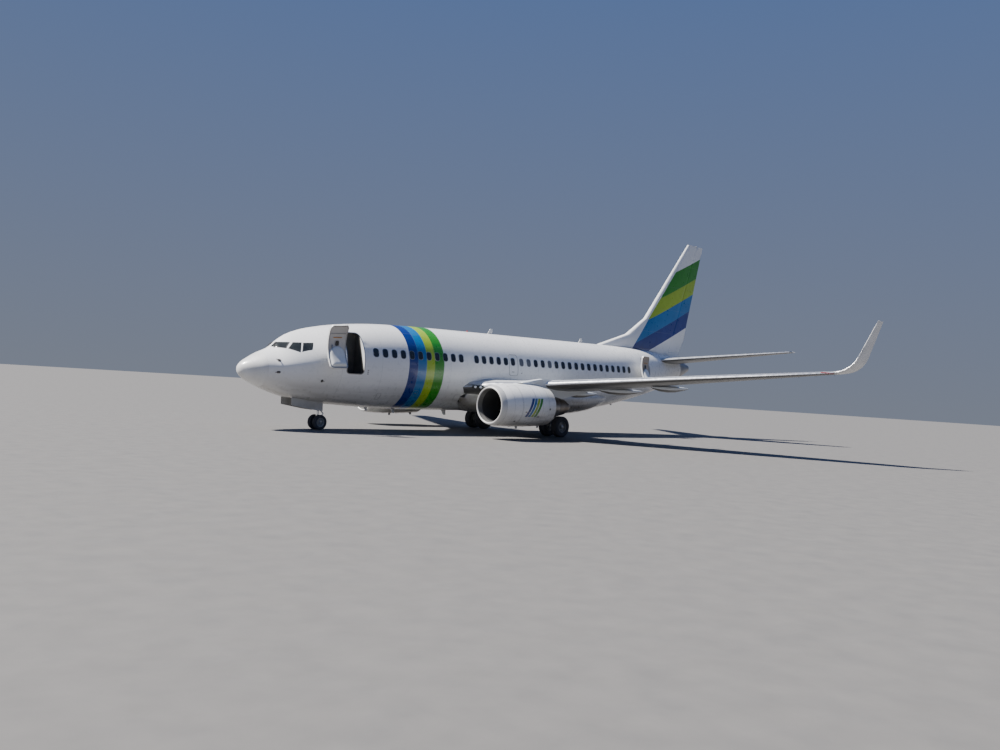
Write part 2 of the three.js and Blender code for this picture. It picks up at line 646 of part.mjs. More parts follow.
// Flattens the upper half of a canoe that lies under a wing
function flatTopped(geometry) {
  const points = geometry.attributes.position;
  for (let i = 0; i < points.count; i += 1) {
    if (points.getZ(i) > 0) points.setZ(i, points.getZ(i) * CANOE_TOP);
  }
  return geometry;
}

function buildWing() {
  let fixed = wingLoft();
  FLAPS.forEach((flap) => {
    const region = solidOf(planRegion(flap, 0)(PANEL_GAP));
    placePair(`flap_${flap.name}`, geometryOf(fixed.intersect(region).subtract(grownHull)
      .subtract(grownFairing)), WHITE_PAINT);
    fixed = fixed.subtract(solidOf(planRegion(flap, -PANEL_GAP)(0)));
  });
  const stops = hingeStops(WING, WING_CAMBER, AILERON);
  const { moving, fixed: wing } = hinged(fixed, planRegion(AILERON, 0), stops, AILERON.turn);
  placePair('aileron', geometryOf(moving), WHITE_PAINT, axisThrough(stops));

  const pads = JACK_PADS.map(([side, station]) => {
    const { middle, half } = depthAt(WING, WING_CAMBER, side, station);
    const top = at(station, side, middle);
    return bar(top, top.clone().setZ(middle - half - JACK_PAD.drop), JACK_PAD.radius, JACK_PAD.radius, 16);
  });
  const padded = wing.add(union(...pads)).subtract(grownHull).subtract(grownFairing);
  placePair('wing', geometryOf(padded), GREY_PAINT);

  const { root: [side, height], bend, straight, lowLean, highLean, steps } = WINGLET;
  const [low, high] = [lowLean, highLean].map(THREE.MathUtils.degToRad);
  const arc = bend * (high - low);
  const rows = [];
  for (let i = 0; i <= steps + 1; i += 1) {
    const lean = Math.min(1, i / steps) * (high - low) + low;
    const tip = i > steps ? straight : 0;
    const along = (bend * (lean - low) + tip) / (arc + straight);
    const across = side + GAP * (i === 0) + bend * (Math.sin(lean) - Math.sin(low)) + tip * Math.cos(high);
    const up = height + bend * (Math.cos(low) - Math.cos(lean)) + tip * Math.sin(high);
    rows.push([across, mix(...WINGLET_EDGES.lead, along), mix(...WINGLET_EDGES.trail, along), up,
      mix(...WINGLET_EDGES.thickness, along), WING.at(-1)[5] * (1 - along), THREE.MathUtils.radToDeg(lean)]);
  }
  placePair('winglet', outward(loft(rows.map((row) => wingRing(row, WING_CAMBER, 0)))), WHITE_PAINT);

  FLAP_TRACKS.forEach(({ name, side: across, from, to, height: level, halfHeight, halfWidth }) => {
    const length = to - from;
    const profile = TRACK_SHAPE.map(([along, girth]) => [from + along * length, girth]);
    const canoe = flatTopped(turned(profile, 12)).scale(1, halfWidth, halfHeight).translate(0, across, level);
    placePair(`flap_track_${name}`, geometryOf(solidOf(canoe).subtract(grownWing)), GREY_PAINT);
  });
}

function buildTail() {
  const stabiliser = solidOf(loft(STABILISER.map((row) => wingRing([...row, 0, 0], 0, 0))))
    .subtract(grownHull);
  const stops = hingeStops(STABILISER, 0, ELEVATOR);
  const elevator = hinged(stabiliser, planRegion(ELEVATOR, 0), stops, ELEVATOR.turn);
  placePair('stabiliser', geometryOf(elevator.fixed), WHITE_PAINT);
  placePair('elevator', geometryOf(elevator.moving), WHITE_PAINT, axisThrough(stops));

  const finSection = ([height, lead, trail, thickness]) => aerofoil(thickness, 0, AEROFOIL_STEPS)
    .map(([u, v]) => at(mix(lead, trail, u), v * (trail - lead), height));
  const fin = solidOf(loft(FIN.map(finSection))).subtract(grownHull);
  const { foot, head, footTrail } = RUDDER;
  const slope = (head[1] - foot[1]) / (head[0] - foot[0]);
  const hingeAt = (height) => foot[1] + slope * (height - foot[0]);
  const top = head[0] + 20;
  const region = (inset) => prism([[hingeAt(foot[0] + inset) + inset / 3, foot[0] + inset],
    [hingeAt(top) + inset / 3, top], [hingeAt(top) + 2500, top],
    [hingeAt(foot[0]) + 2500, footTrail + inset]],
  'abeam', -800, 800);
  const finHalf = (height) => {
    const row = Math.max(1, FIN.findIndex(([level]) => level >= height));
    const share = (height - FIN[row - 1][0]) / (FIN[row][0] - FIN[row - 1][0]);
    const [lead, trail, thickness] = [1, 2, 3].map((i) => mix(FIN[row - 1][i], FIN[row][i], share));
    return halfDepth(thickness, (hingeAt(height) - lead) / (trail - lead)) * (trail - lead);
  };
  const between = FIN.map(([height]) => height).filter((height) => height > foot[0] && height < head[0]);
  const rudderStops = [foot[0], ...between, head[0] + END_GAP]
    .map((height) => ({ place: at(hingeAt(height), 0, height), half: finHalf(Math.min(height, head[0])) }));
  const rudder = hinged(fin, region, rudderStops, RUDDER.turn);
  place('fin', geometryOf(rudder.fixed), WHITE_PAINT);
  place('rudder', geometryOf(rudder.moving), WHITE_PAINT, axisThrough(rudderStops));
}

// Flattens the underside of a cowl, beyond the duct's radius
function flattened(geometry) {
  const points = geometry.attributes.position;
  for (let i = 0; i < points.count; i += 1) {
    const [side, height] = [points.getY(i), points.getZ(i)];
    const radius = Math.hypot(side, height);
    const excess = Math.max(0, radius - COWL_ROUND) * COWL_FLATTENING;
    if (height < 0) points.setZ(i, height + excess * (height / radius) ** 2);
  }
  return geometry;
}

// The part of a profile between two distances along it, in the same direction
function clipped(profile, from, to) {
  const radiusAt = (along) => {
    const i = profile.findIndex(([next], k) => k > 0 && (next - along) * (profile[k - 1][0] - along) <= 0);
    const [[before, low], [after, high]] = [profile[i - 1], profile[i]];
    return mix(low, high, (along - before) / (after - before));
  };
  const kept = profile.filter(([along]) => along > from && along < to);
  const [start, end] = [[from, radiusAt(from)], [to, radiusAt(to)]];
  return profile[0][0] < profile.at(-1)[0] ? [start, ...kept, end] : [end, ...kept, start];
}

function buildEngine() {
  const middle = at(ENGINE.lipStation, ENGINE.side, ENGINE.height);
  const moved = (geometry) => geometry.translate(middle.x, middle.y, middle.z);
  const ringOf = (outside, inside) => flattened(turned([...outside, ...inside, outside[0]], ENGINE.sides));
  const cowl = (grow) => {
    const outside = COWL_OUTSIDE.filter(([along]) => along >= LIP_END)
      .map(([along, radius]) => [along === LIP_END ? along + GAP - grow : along, radius + grow]);
    const inside = COWL_INSIDE.filter(([along]) => along >= LIP_END)
      .map(([along, radius]) => [along === LIP_END ? along + GAP - grow : along, radius - grow]);
    [outside.at(-1), inside[0]].forEach((end) => { end[0] += grow; });
    return moved(ringOf(outside, inside));
  };
  const lip = ringOf(COWL_OUTSIDE.filter(([along]) => along <= LIP_END),
    COWL_INSIDE.filter(([along]) => along <= LIP_END));
  const core = (grow) => moved(turned(CORE.map(([along, radius], i) => {
    const end = i < 2 ? -grow : 0;
    return [along + end, radius === 0 ? 0 : radius + grow];
  }), ENGINE.coreSides));
  const cowlEnd = COWL_OUTSIDE.at(-1)[0];
  const cowls = [['fan_cowl', LIP_END + GAP, COWL_SPLIT], ['duct_sleeve', COWL_SPLIT + GAP, cowlEnd]];
  cowls.forEach(([name, from, to]) => {
    const piece = moved(ringOf(clipped(COWL_OUTSIDE, from, to), clipped(COWL_INSIDE, from, to)));
    placePair(name, geometryOf(solidOf(piece).subtract(grownWing)), WHITE_PAINT);
  });
  placePair('inlet_lip', outward(moved(lip)), BARE_METAL);
  placePair('engine_core', outward(core(0)), HOT_METAL);
  const { outline, halfWidth } = PYLON;
  const pylon = solidOf(prism(outline, 'abeam', ENGINE.side - halfWidth, ENGINE.side + halfWidth))
    .subtract(grownWing).subtract(solidOf(cowl(GAP))).subtract(solidOf(core(GAP)));
  placePair('pylon', geometryOf(pylon), WHITE_PAINT);

  const { hub, depth, radius, spinner, blades, station } = FAN;
  const hubProfile = [
    [-depth / 2 - spinner, 0], [-depth / 2 - spinner * 0.55, hub * 0.58], [-depth / 2, hub * 0.97],
    [0, hub], [depth / 2, hub], [depth / 2, 0]];
  let rotor = solidOf(turned(hubProfile, HUB_SIDES));
  const bladeRing = ({ reach, chord, stagger, thickness }) => {
    const angle = THREE.MathUtils.degToRad(stagger);
    return [[-0.5, 0.3], [0.5, 0.3], [0.5, -0.3], [-0.5, -0.3]].map(([u, v]) => {
      const [along, across] = [u * chord, v * thickness];
      return new THREE.Vector3(-along * Math.cos(angle) - across * Math.sin(angle),
        along * Math.sin(angle) - across * Math.cos(angle), reach);
    });
  };
  const blade = loft(BLADE_SECTIONS.map(bladeRing));
  for (let i = 0; i < blades; i += 1) {
    rotor = rotor.add(solidOf(blade.clone().rotateX((2 * Math.PI * i) / blades)));
  }
  const hubMiddle = at(ENGINE.lipStation + station, ENGINE.side, ENGINE.height);
  const fan = geometryOf(rotor).translate(hubMiddle.x, hubMiddle.y, hubMiddle.z);
  placePair('fan', fan, FAN_METAL, { origin: hubMiddle, direction: AHEAD });
}

// Two tyres on their hubs, joined by the axle
function twinWheels({ side, radius, halfWidth, rim, axle }) {
  const half = [[0, 0.55], [0.3, 0.55], [0.42, 0.3], [0.92, 0.3], [1, 0.72]].map(([r, w]) => [r * rim, w]);
  const tread = [[0, 0.82], [0.42, 1], [0.8, 0.86], [1, 0.5]].map(([r, w]) => [mix(rim, radius, r), w]);
  const outer = [...half, ...tread.slice(1)].map(([r, w]) => [r, side + w * halfWidth]);
  const shoulder = [[1, -0.5], [0.8, -0.86], [0.42, -1]];
  const inner = shoulder.map(([r, w]) => [mix(rim, radius, r), side + w * halfWidth]);
  const back = [[rim, side - 0.72 * halfWidth], [rim * 0.85, side - 0.2 * halfWidth],
    [axle, side - 0.2 * halfWidth]];
  const port = [...outer, ...inner, ...back];
  const profile = [...port, ...[...port].reverse().map(([r, w]) => [r, -w])];
  const flat = Math.cos(Math.PI / TYRE_SIDES);
  const points = profile.map(([r, w]) => new THREE.Vector2(r > rim ? r / flat : r, w));
  return outward(new THREE.LatheGeometry(points, TYRE_SIDES).rotateY(Math.PI / TYRE_SIDES - PITCH));
}

// Panel carried by the main leg, outboard of it
function legDoor() {
  const side = MAIN_GEAR.side + LEG_DOOR.side;
  const corners = [[LEG_DOOR.from, LEG_DOOR.low + 60], [LEG_DOOR.from, LEG_DOOR.high],
    [LEG_DOOR.to, LEG_DOOR.high], [LEG_DOOR.to, LEG_DOOR.low]];
  const outline = corners.map(([forward, height]) => {
    const place = aboveGround(MAIN_GEAR.station - forward, 0, height);
    return [-place.x, place.z];
  });
  return prism(outline, 'abeam', side, side + LEG_DOOR.thickness);
}

// Joined bars of a table, placed by a function of forward, outboard and height
const barred = (table, placeOf) => union(...table.map(([start, end, ...size]) => bar(placeOf(...start),
  placeOf(...end), ...size)));

function buildGear() {
  const nose = NOSE_GEAR;
  const noseAt = (forward, side, height) => aboveGround(nose.station - forward, side, height);
  place('nose_gear_leg', geometryOf(barred(NOSE_LEG_BARS, noseAt)), GEAR_PAINT);
  const bore = (placeOf, axle, { reach, play }, radius) => solidOf(bar(placeOf(0, -reach, axle),
    placeOf(0, reach, axle), radius + play));
  const block = boxOnGround(nose.station - FORK_BLOCK.length, nose.station, FORK_BLOCK.halfWidth,
    nose.axle - FORK_BLOCK.halfHeight, nose.axle + FORK_BLOCK.halfHeight);
  const fork = barred(NOSE_FORK_BARS, noseAt).add(solidOf(block))
    .subtract(bore(noseAt, nose.axle, NOSE_BORE, NOSE_WHEEL.axle));
  const upright = noseAt(0, 0, 2000).sub(noseAt(0, 0, 1000));
  const steering = { origin: noseAt(0, 0, nose.strutFoot), direction: upright };
  place('nose_gear_fork', geometryOf(fork), GEAR_PAINT, steering);
  const noseHub = noseAt(0, 0, nose.axle);
  place('nose_wheels', twinWheels(NOSE_WHEEL).translate(noseHub.x, 0, noseHub.z), TYRE_RUBBER,
    { origin: noseHub, direction: TO_PORT });

  const main = MAIN_GEAR;
  const mainAt = (forward, side, height) => aboveGround(main.station - forward, main.side + side, height);
  const leg = barred(MAIN_LEG_BARS, mainAt).add(solidOf(legDoor()))
    .subtract(bore(mainAt, main.axle, MAIN_BORE, MAIN_WHEEL.axle))
    .subtract(grownWing).subtract(grownFairing).subtract(grownHull);
  placePair('main_gear_leg', geometryOf(leg), GEAR_PAINT);
  const mainHub = mainAt(0, 0, main.axle);
  placePair('main_wheels', twinWheels(MAIN_WHEEL).translate(mainHub.x, mainHub.y, mainHub.z), TYRE_RUBBER,
    { origin: mainHub, direction: TO_PORT });
}

buildBody();
buildWing();
buildTail();
buildEngine();
buildGear();

export default airframe;
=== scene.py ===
import json
import logging
import math
from dataclasses import dataclass
from enum import Enum
from typing import Callable, Iterable, Sequence

import bmesh
import bpy
from mathutils import Matrix, Vector
from mathutils.bvhtree import BVHTree

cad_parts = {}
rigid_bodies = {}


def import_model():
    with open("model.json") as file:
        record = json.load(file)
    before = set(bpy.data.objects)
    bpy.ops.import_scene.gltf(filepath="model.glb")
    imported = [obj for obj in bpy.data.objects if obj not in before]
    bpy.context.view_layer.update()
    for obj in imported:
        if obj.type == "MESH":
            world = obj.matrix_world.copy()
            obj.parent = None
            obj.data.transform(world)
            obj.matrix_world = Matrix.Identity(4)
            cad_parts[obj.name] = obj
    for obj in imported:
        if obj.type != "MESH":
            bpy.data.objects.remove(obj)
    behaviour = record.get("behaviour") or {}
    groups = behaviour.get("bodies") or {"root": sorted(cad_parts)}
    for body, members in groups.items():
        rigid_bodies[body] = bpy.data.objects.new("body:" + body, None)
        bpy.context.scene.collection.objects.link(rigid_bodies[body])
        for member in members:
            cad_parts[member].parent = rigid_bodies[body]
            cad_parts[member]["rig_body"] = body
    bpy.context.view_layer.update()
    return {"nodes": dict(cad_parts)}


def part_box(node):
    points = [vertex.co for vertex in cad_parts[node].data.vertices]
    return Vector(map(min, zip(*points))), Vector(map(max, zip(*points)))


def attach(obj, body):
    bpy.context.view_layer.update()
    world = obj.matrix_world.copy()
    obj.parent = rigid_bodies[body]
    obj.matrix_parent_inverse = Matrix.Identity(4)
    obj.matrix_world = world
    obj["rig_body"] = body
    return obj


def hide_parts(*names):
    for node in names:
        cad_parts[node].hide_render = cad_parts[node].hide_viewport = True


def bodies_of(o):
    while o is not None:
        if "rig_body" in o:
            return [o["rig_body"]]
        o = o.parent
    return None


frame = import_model()

LOG = logging.getLogger("airliner")

NOSE_X = 16.787
LOBE_HEIGHT = 3.042
PITCH = math.radians(0.806)
AIRFRAME = Matrix.Translation((NOSE_X, 0, LOBE_HEIGHT)) @ Matrix.Rotation(PITCH, 4, "Y")
UPRIGHT = Matrix.Identity(4)
BODY = "airframe"
SIDES = {"left": 1, "right": -1}
ENGINE_SIDE = 4.83
LEAD_STATION, LEAD_SIDE, LEAD_SLOPE = 12.5, 3.25, 0.5228
ROOT_LEAD = (1.0, 10.43, 0.92)
BELOW_ALL = -1.0

Colour = tuple[float, float, float]
Shape = bmesh.types.BMesh


# Finishes

class Sketch:
    """Builds one node material step by step."""

    def __init__(self, name: str) -> None:
        """Starts an empty material.

        Args:
            name: the material's name.
        """
        self.material = bpy.data.materials.new(name)
        self.material.use_nodes = True
        self.tree = self.material.node_tree
        self.tree.nodes.clear()
        self.shader = self.add("ShaderNodeBsdfPrincipled")
        output = self.add("ShaderNodeOutputMaterial")
        self.tree.links.new(self.shader.outputs[0], output.inputs["Surface"])
        self.place = self.add("ShaderNodeTexCoord").outputs["Object"]

    def add(self, kind: str) -> bpy.types.Node:
        """Adds a node of a kind."""
        return self.tree.nodes.new(kind)

    def feed(self, socket: bpy.types.NodeSocket, value: object) -> None:
        """Links a socket to an output, or sets it.

        Args:
            socket: the input.
            value: an output socket, a number or a colour.
        """
        if isinstance(value, bpy.types.NodeSocket):
            self.tree.links.new(value, socket)
        elif isinstance(value, tuple) and len(value) == 3 and socket.type == "RGBA":
            socket.default_value = (*value, 1.0)
        else:
            socket.default_value = value

    def sum(self, operation: str, *values: object) -> bpy.types.NodeSocket:
        """One step of arithmetic.

        Args:
            operation: the Math node's operation.
            values: its numbers or outputs.

        Returns:
            The result.
        """
        node = self.add("ShaderNodeMath")
        node.operation = operation
        for socket, value in zip(node.inputs, values):
            self.feed(socket, value)
        return node.outputs[0]

    def blend(self, share: object, first: object, second: object) -> bpy.types.NodeSocket:
        """Mixes two colours.

        Args:
            share: how much of the second shows.
            first: the first colour.
            second: the second colour.

        Returns:
            The mixed colour.
        """
        node = self.add("ShaderNodeMix")
        node.data_type = "RGBA"
        self.feed(node.inputs[0], share)
        self.feed(node.inputs[6], first)
        self.feed(node.inputs[7], second)
        return node.outputs[2]

    def times(self, first: object, second: object) -> bpy.types.NodeSocket:
        """The product of two values."""
        return self.sum("MULTIPLY", first, second)

    def mottled(self, scale: float, detail: float, first: object, second: object,
                most: float = 1) -> bpy.types.NodeSocket:
        """Mixes two colours in patches, the second up to a share."""
        return self.blend(self.spread(self.noise(scale, detail), 0, most), first, second)

    def aged(self, paint: Colour) -> bpy.types.NodeSocket:
        """A stripe's colour, faded a little in patches."""
        return self.mottled(3.0, 5, paint, tuple(min(1.0, c * 1.5 + 0.02) for c in paint), 0.25)

    def band(self, value: object, low: object, high: object, soft: float = 0.004) -> bpy.types.NodeSocket:
        """How far a value lies between two limits, from 0 to 1, with soft edges."""
        rise = self.ramp(value, low, soft)
        fall = self.ramp(value, high, soft)
        return self.sum("SUBTRACT", rise, fall)

    def ramp(self, value: object, start: object, width: float) -> bpy.types.NodeSocket:
        """Rises from 0 to 1 over a width from a start."""
        shifted = self.sum("SUBTRACT", value, start)
        node = self.add("ShaderNodeMath")
        node.operation = "DIVIDE"
        node.use_clamp = True
        self.feed(node.inputs[0], shifted)
        node.inputs[1].default_value = width
        return node.outputs[0]

    def noise(self, scale: float, detail: float = 3.0, place: object = None,
              stretch: Sequence[float] = (1, 1, 1)) -> bpy.types.NodeSocket:
        """A noise pattern.

        Args:
            scale: its fineness, per metre.
            detail: its octaves.
            place: the coordinates it reads.
            stretch: how much finer it is along each direction.

        Returns:
            The noise's value.
        """
        mapping = self.add("ShaderNodeMapping")
        self.feed(mapping.inputs["Vector"], self.place if place is None else place)
        mapping.inputs["Scale"].default_value = tuple(stretch)
        node = self.add("ShaderNodeTexNoise")
        self.feed(node.inputs["Vector"], mapping.outputs[0])
        node.inputs["Scale"].default_value = scale
        node.inputs["Detail"].default_value = detail
        return node.outputs["Fac"]

    def spread(self, value: object, low: float, high: float) -> bpy.types.NodeSocket:
        """Stretches the middle of a pattern over a range."""
        node = self.add("ShaderNodeMapRange")
        self.feed(node.inputs["Value"], value)
        for name, number in (("From Min", 0.3), ("From Max", 0.7), ("To Min", low), ("To Max", high)):
            node.inputs[name].default_value = number
        return node.outputs[0]

    def airframe_place(self) -> tuple[bpy.types.NodeSocket, bpy.types.NodeSocket, bpy.types.NodeSocket]:
        """Station, side and height on the airframe.

        Returns:
            The three outputs.
        """
        back = AIRFRAME.inverted()
        mapping = self.add("ShaderNodeMapping")
        self.feed(mapping.inputs["Vector"], self.place)
        mapping.inputs["Rotation"].default_value = back.to_euler()
        mapping.inputs["Location"].default_value = back.translation
        split = self.add("ShaderNodeSeparateXYZ")
        self.feed(split.inputs[0], mapping.outputs[0])
        return self.sum("MULTIPLY", split.outputs[0], -1.0), split.outputs[1], split.outputs[2]

    def surface(self, colour: object, roughness: object, metallic: float = 0.0, bump: object = None,
                depth: float = 0.001, coat: float = 0.0) -> bpy.types.Material:
        """Finishes the shader.

        Args:
            colour: the base colour.
            roughness: the roughness.
            metallic: 0 or 1.
            bump: the height pattern.
            depth: the bump's depth in metres.
            coat: weight of a clear coat.

        Returns:
            The material.
        """
        self.feed(self.shader.inputs["Base Color"], colour)
        self.feed(self.shader.inputs["Roughness"], roughness)
        self.shader.inputs["Metallic"].default_value = metallic
        self.shader.inputs["Coat Weight"].default_value = coat
        self.shader.inputs["Coat Roughness"].default_value = 0.08
        if bump is not None:
            node = self.add("ShaderNodeBump")
            node.inputs["Distance"].default_value = depth
            node.inputs["Strength"].default_value = 0.6
            self.feed(node.inputs["Height"], bump)
            self.feed(self.shader.inputs["Normal"], node.outputs[0])
        return self.material


@dataclass(frozen=True)
class Paint:
    """A material that is mixed once and then found by its name."""

    name: str

    def material(self) -> bpy.types.Material:
        """The material."""
        return bpy.data.materials.get(self.name) or self.mixed(Sketch(self.name))

    def mixed(self, sketch: Sketch) -> bpy.types.Material:
        """Mixes the material on an empty sketch."""
        raise NotImplementedError


@dataclass(frozen=True)
class Finish(Paint):
    """A plain finish with mottling, uneven gloss and a fine grain."""

    colour: Colour
    worn: Colour
    roughness: float = 0.4
    metallic: float = 0.0
    grain: float = 18.0
    depth: float = 0.0006
    coat: float = 0.0

    def mixed(self, sketch: Sketch) -> bpy.types.Material:
        """The mottled finish."""
        colour = sketch.mottled(2.2, 5, self.colour, self.worn)
        fine = sketch.noise(self.grain, 4)
        gloss = sketch.spread(fine, self.roughness * 0.85, min(1.0, self.roughness * 1.2))
        return sketch.surface(colour, gloss, self.metallic, fine, self.depth, self.coat)


WHITE = (0.72, 0.73, 0.73)
OFF_WHITE = (0.62, 0.62, 0.61)
DARK_BLUE = (0.002, 0.022, 0.17)
TEAL_BLUE = (0.003, 0.125, 0.33)
LIME = (0.27, 0.40, 0.015)
GREEN = (0.018, 0.20, 0.003)
STRIPES = (DARK_BLUE, TEAL_BLUE, LIME, GREEN)
# Brownish grey for soot, grime and painted shade low on the skins.
GRIME_AND_SHADE = (0.185, 0.165, 0.135)
SEAM_GREY = (0.3, 0.3, 0.31)
RIVET_GREY = (0.35, 0.35, 0.36)
JOINT_GREY = (0.16, 0.16, 0.17)
SLAT_GREY = (0.12, 0.12, 0.13)
EDGE_METAL = (0.72, 0.73, 0.75)

GREY_PAINT = Finish("grey_paint", (0.46, 0.48, 0.50), (0.36, 0.37, 0.38), 0.38, depth=0.0004, coat=0.2)
# Nose gear doors grey, darker than the white belly: painted shade under the belly, with dirt mottled in.
SHADED_DOOR_PAINT = Finish("gear_door_shaded_paint", (0.47, 0.475, 0.46), (0.33, 0.32, 0.30), 0.4, depth=0.0005, coat=0.1)
PLAIN_WHITE = Finish("plain_white_paint", WHITE, OFF_WHITE, 0.3, depth=0.0003, coat=0.3)
LIP_METAL = Finish("lip_metal", (0.58, 0.58, 0.575), (0.47, 0.47, 0.465), 0.5, 0.35, 24, 0.0003)
DULL_METAL = Finish("dull_metal", (0.40, 0.40, 0.41), (0.27, 0.27, 0.28), 0.42, 1.0, 30)
HOT_METAL = Finish("heat_stained_metal", (0.30, 0.27, 0.24), (0.17, 0.14, 0.12), 0.42, 1.0, 26)
CORE_METAL = Finish("core_cowl_metal", (0.36, 0.35, 0.34), (0.24, 0.22, 0.20), 0.36, 1.0, 26)
FAN_TITANIUM = Finish("fan_titanium", (0.20, 0.205, 0.215), (0.12, 0.12, 0.13), 0.33, 1.0, 40)
GEAR_PAINT = Finish("gear_paint", (0.55, 0.56, 0.57), (0.33, 0.31, 0.28), 0.42, coat=0.1)
CHROME = Finish("strut_chrome", (0.75, 0.76, 0.78), (0.66, 0.67, 0.68), 0.1, 1.0, 50, 0.0001)
RUBBER = Finish("tyre_rubber", (0.022, 0.022, 0.023), (0.055, 0.052, 0.048), 0.85, 0, 60, 0.0012)
RIM_PAINT = Finish("wheel_paint", (0.34, 0.34, 0.335), (0.20, 0.195, 0.185), 0.45)
BLACK_TRIM = Finish("black_trim", (0.015, 0.016, 0.018), (0.05, 0.05, 0.052), 0.5, 0, 50)
SEAM = Finish("seam_line", (0.22, 0.22, 0.225), (0.30, 0.30, 0.305), 0.6, 0, 40)
PORT_SHADE = Finish("port_shade", (0.045, 0.045, 0.048), (0.08, 0.08, 0.08), 0.6, 0, 40)
# Near black in the open doorways and behind the fan: painted shade.
SHADED_HOLLOW = Finish("hollow_painted_shade", (0.035, 0.036, 0.035), (0.075, 0.07, 0.06), 0.7)
# Near black inside the fan duct: painted shade.
DUCT_SHADE = Finish("duct_painted_shade", (0.055, 0.056, 0.058), (0.035, 0.035, 0.036), 0.6, 0, 30)
# The lip's inner face, darker than its outside: painted shade.
LIP_INNER_SHADE = Finish("lip_inner_shaded_metal", (0.26, 0.26, 0.255), (0.19, 0.19, 0.185), 0.5, 0.6, 30)
WELL_PRIMER = Finish("well_primer", (0.20, 0.22, 0.17), (0.10, 0.09, 0.07), 0.6)
AFT_LINING = Finish("aft_door_lining", (0.42, 0.36, 0.30), (0.34, 0.29, 0.24), 0.55)
CARPET = Finish("entry_floor", (0.05, 0.055, 0.07), (0.09, 0.09, 0.10), 0.9, 0, 90, 0.002)
LEAF_LINING = Finish("door_lining", (0.56, 0.54, 0.50), (0.46, 0.44, 0.41), 0.5)
SLIDE_PACK = Finish("slide_pack_cover", (0.70, 0.72, 0.72), (0.58, 0.60, 0.61), 0.3, 0, 24, 0.001, 0.3)
ORANGE = Finish("warning_strap", (0.46, 0.20, 0.04), (0.34, 0.15, 0.04), 0.6, 0, 60)
PRESSURE_GLASS = Finish("flight_deck_glass", (0.012, 0.014, 0.014), (0.032, 0.036, 0.034), 0.12, coat=0.15)
CABIN_GLASS = Finish("cabin_glass", (0.006, 0.008, 0.012), (0.018, 0.021, 0.026), 0.14, coat=0.2)
BLIND = Finish("window_blind", (0.12, 0.13, 0.15), (0.075, 0.08, 0.095), 0.35, coat=0.3)
CLEAR_LAMP = Finish("clear_lamp", (0.72, 0.75, 0.78), (0.55, 0.58, 0.62), 0.08, coat=1.0)
RED_LAMP = Finish("red_lamp", (0.30, 0.008, 0.008), (0.20, 0.006, 0.006), 0.2, coat=0.6)
GREEN_LAMP = Finish("green_lamp", (0.01, 0.35, 0.06), (0.01, 0.22, 0.04), 0.12, coat=1.0)


@dataclass(frozen=True)
class SkinPaint(Paint):
    """White skin with seams, rivet rows, darkening towards the bottom that is partly grime and partly painted
    shade, and the four rings round the cabin.
    """

    name: str = "fuselage_skin_paint"
    rings: tuple[float, ...] = (7.60, 8.12, 8.64, 9.13, 9.71)
    frame_pitch: float = 2.03
    lap_heights: tuple[float, ...] = (1.45, 0.92, -0.18, -0.72, -1.35)
    seams_from: float = 3.2
    grime_and_shade: tuple[float, float, float, float] = (0.55, 1.5, 0.15, 0.85)
    lap_half: float = 0.003
    row_pitch: float = 0.254
    rivet_pitch: float = 0.016

    def mixed(self, sketch: Sketch) -> bpy.types.Material:
        """The painted skin."""
        station, _, height = sketch.airframe_place()
        colour = sketch.mottled(0.7, 4, WHITE, (0.76, 0.765, 0.77))
        start, depth, least, most = self.grime_and_shade
        # Darker towards the bottom in streaks: partly grime, partly painted shade.
        low = sketch.ramp(sketch.times(height, -1.0), start, depth)
        streaks = sketch.spread(sketch.noise(1.2, 2, stretch=(0.2, 1.4, 1.4)), least, most)
        colour = sketch.blend(sketch.times(low, streaks), colour, GRIME_AND_SHADE)
        for paint, start, end in zip(STRIPES, self.rings, self.rings[1:]):
            colour = sketch.blend(sketch.band(station, start, end), colour, sketch.aged(paint))
        beat = sketch.sum("PINGPONG", station, self.frame_pitch / 2)
        seams = sketch.band(beat, BELOW_ALL, 0.005)
        for level in self.lap_heights:
            lap = sketch.band(height, level - self.lap_half, level + self.lap_half)
            seams = sketch.sum("MAXIMUM", seams, lap)
        rows = sketch.band(sketch.sum("PINGPONG", beat, self.row_pitch), BELOW_ALL, 0.008)
        dots = sketch.band(sketch.sum("PINGPONG", height, self.rivet_pitch), BELOW_ALL, 0.006, 0.003)
        behind = sketch.ramp(station, self.seams_from, 0.01)
        seams = sketch.times(seams, behind)
        rivets = sketch.times(sketch.times(rows, dots), behind)
        colour = sketch.blend(sketch.times(seams, 0.35), colour, SEAM_GREY)
        colour = sketch.blend(sketch.times(rivets, 0.12), colour, RIVET_GREY)
        sunk = sketch.sum("ADD", seams, sketch.times(rivets, 0.4))
        relief = sketch.sum("SUBTRACT", sketch.times(sketch.noise(0.9, 2), 0.8), sunk)
        gloss = sketch.spread(sketch.noise(5, 4), 0.24, 0.36)
        return sketch.surface(colour, gloss, 0, relief, 0.0015, 0.25)


# The fairing darkens from higher up and all the way: grime and painted shade under the wing.
FAIRING_PAINT = SkinPaint("fairing_paint", (), 1.9, (-1.5,), 0.0, (0.5, 1.0, 0.45, 1.0))


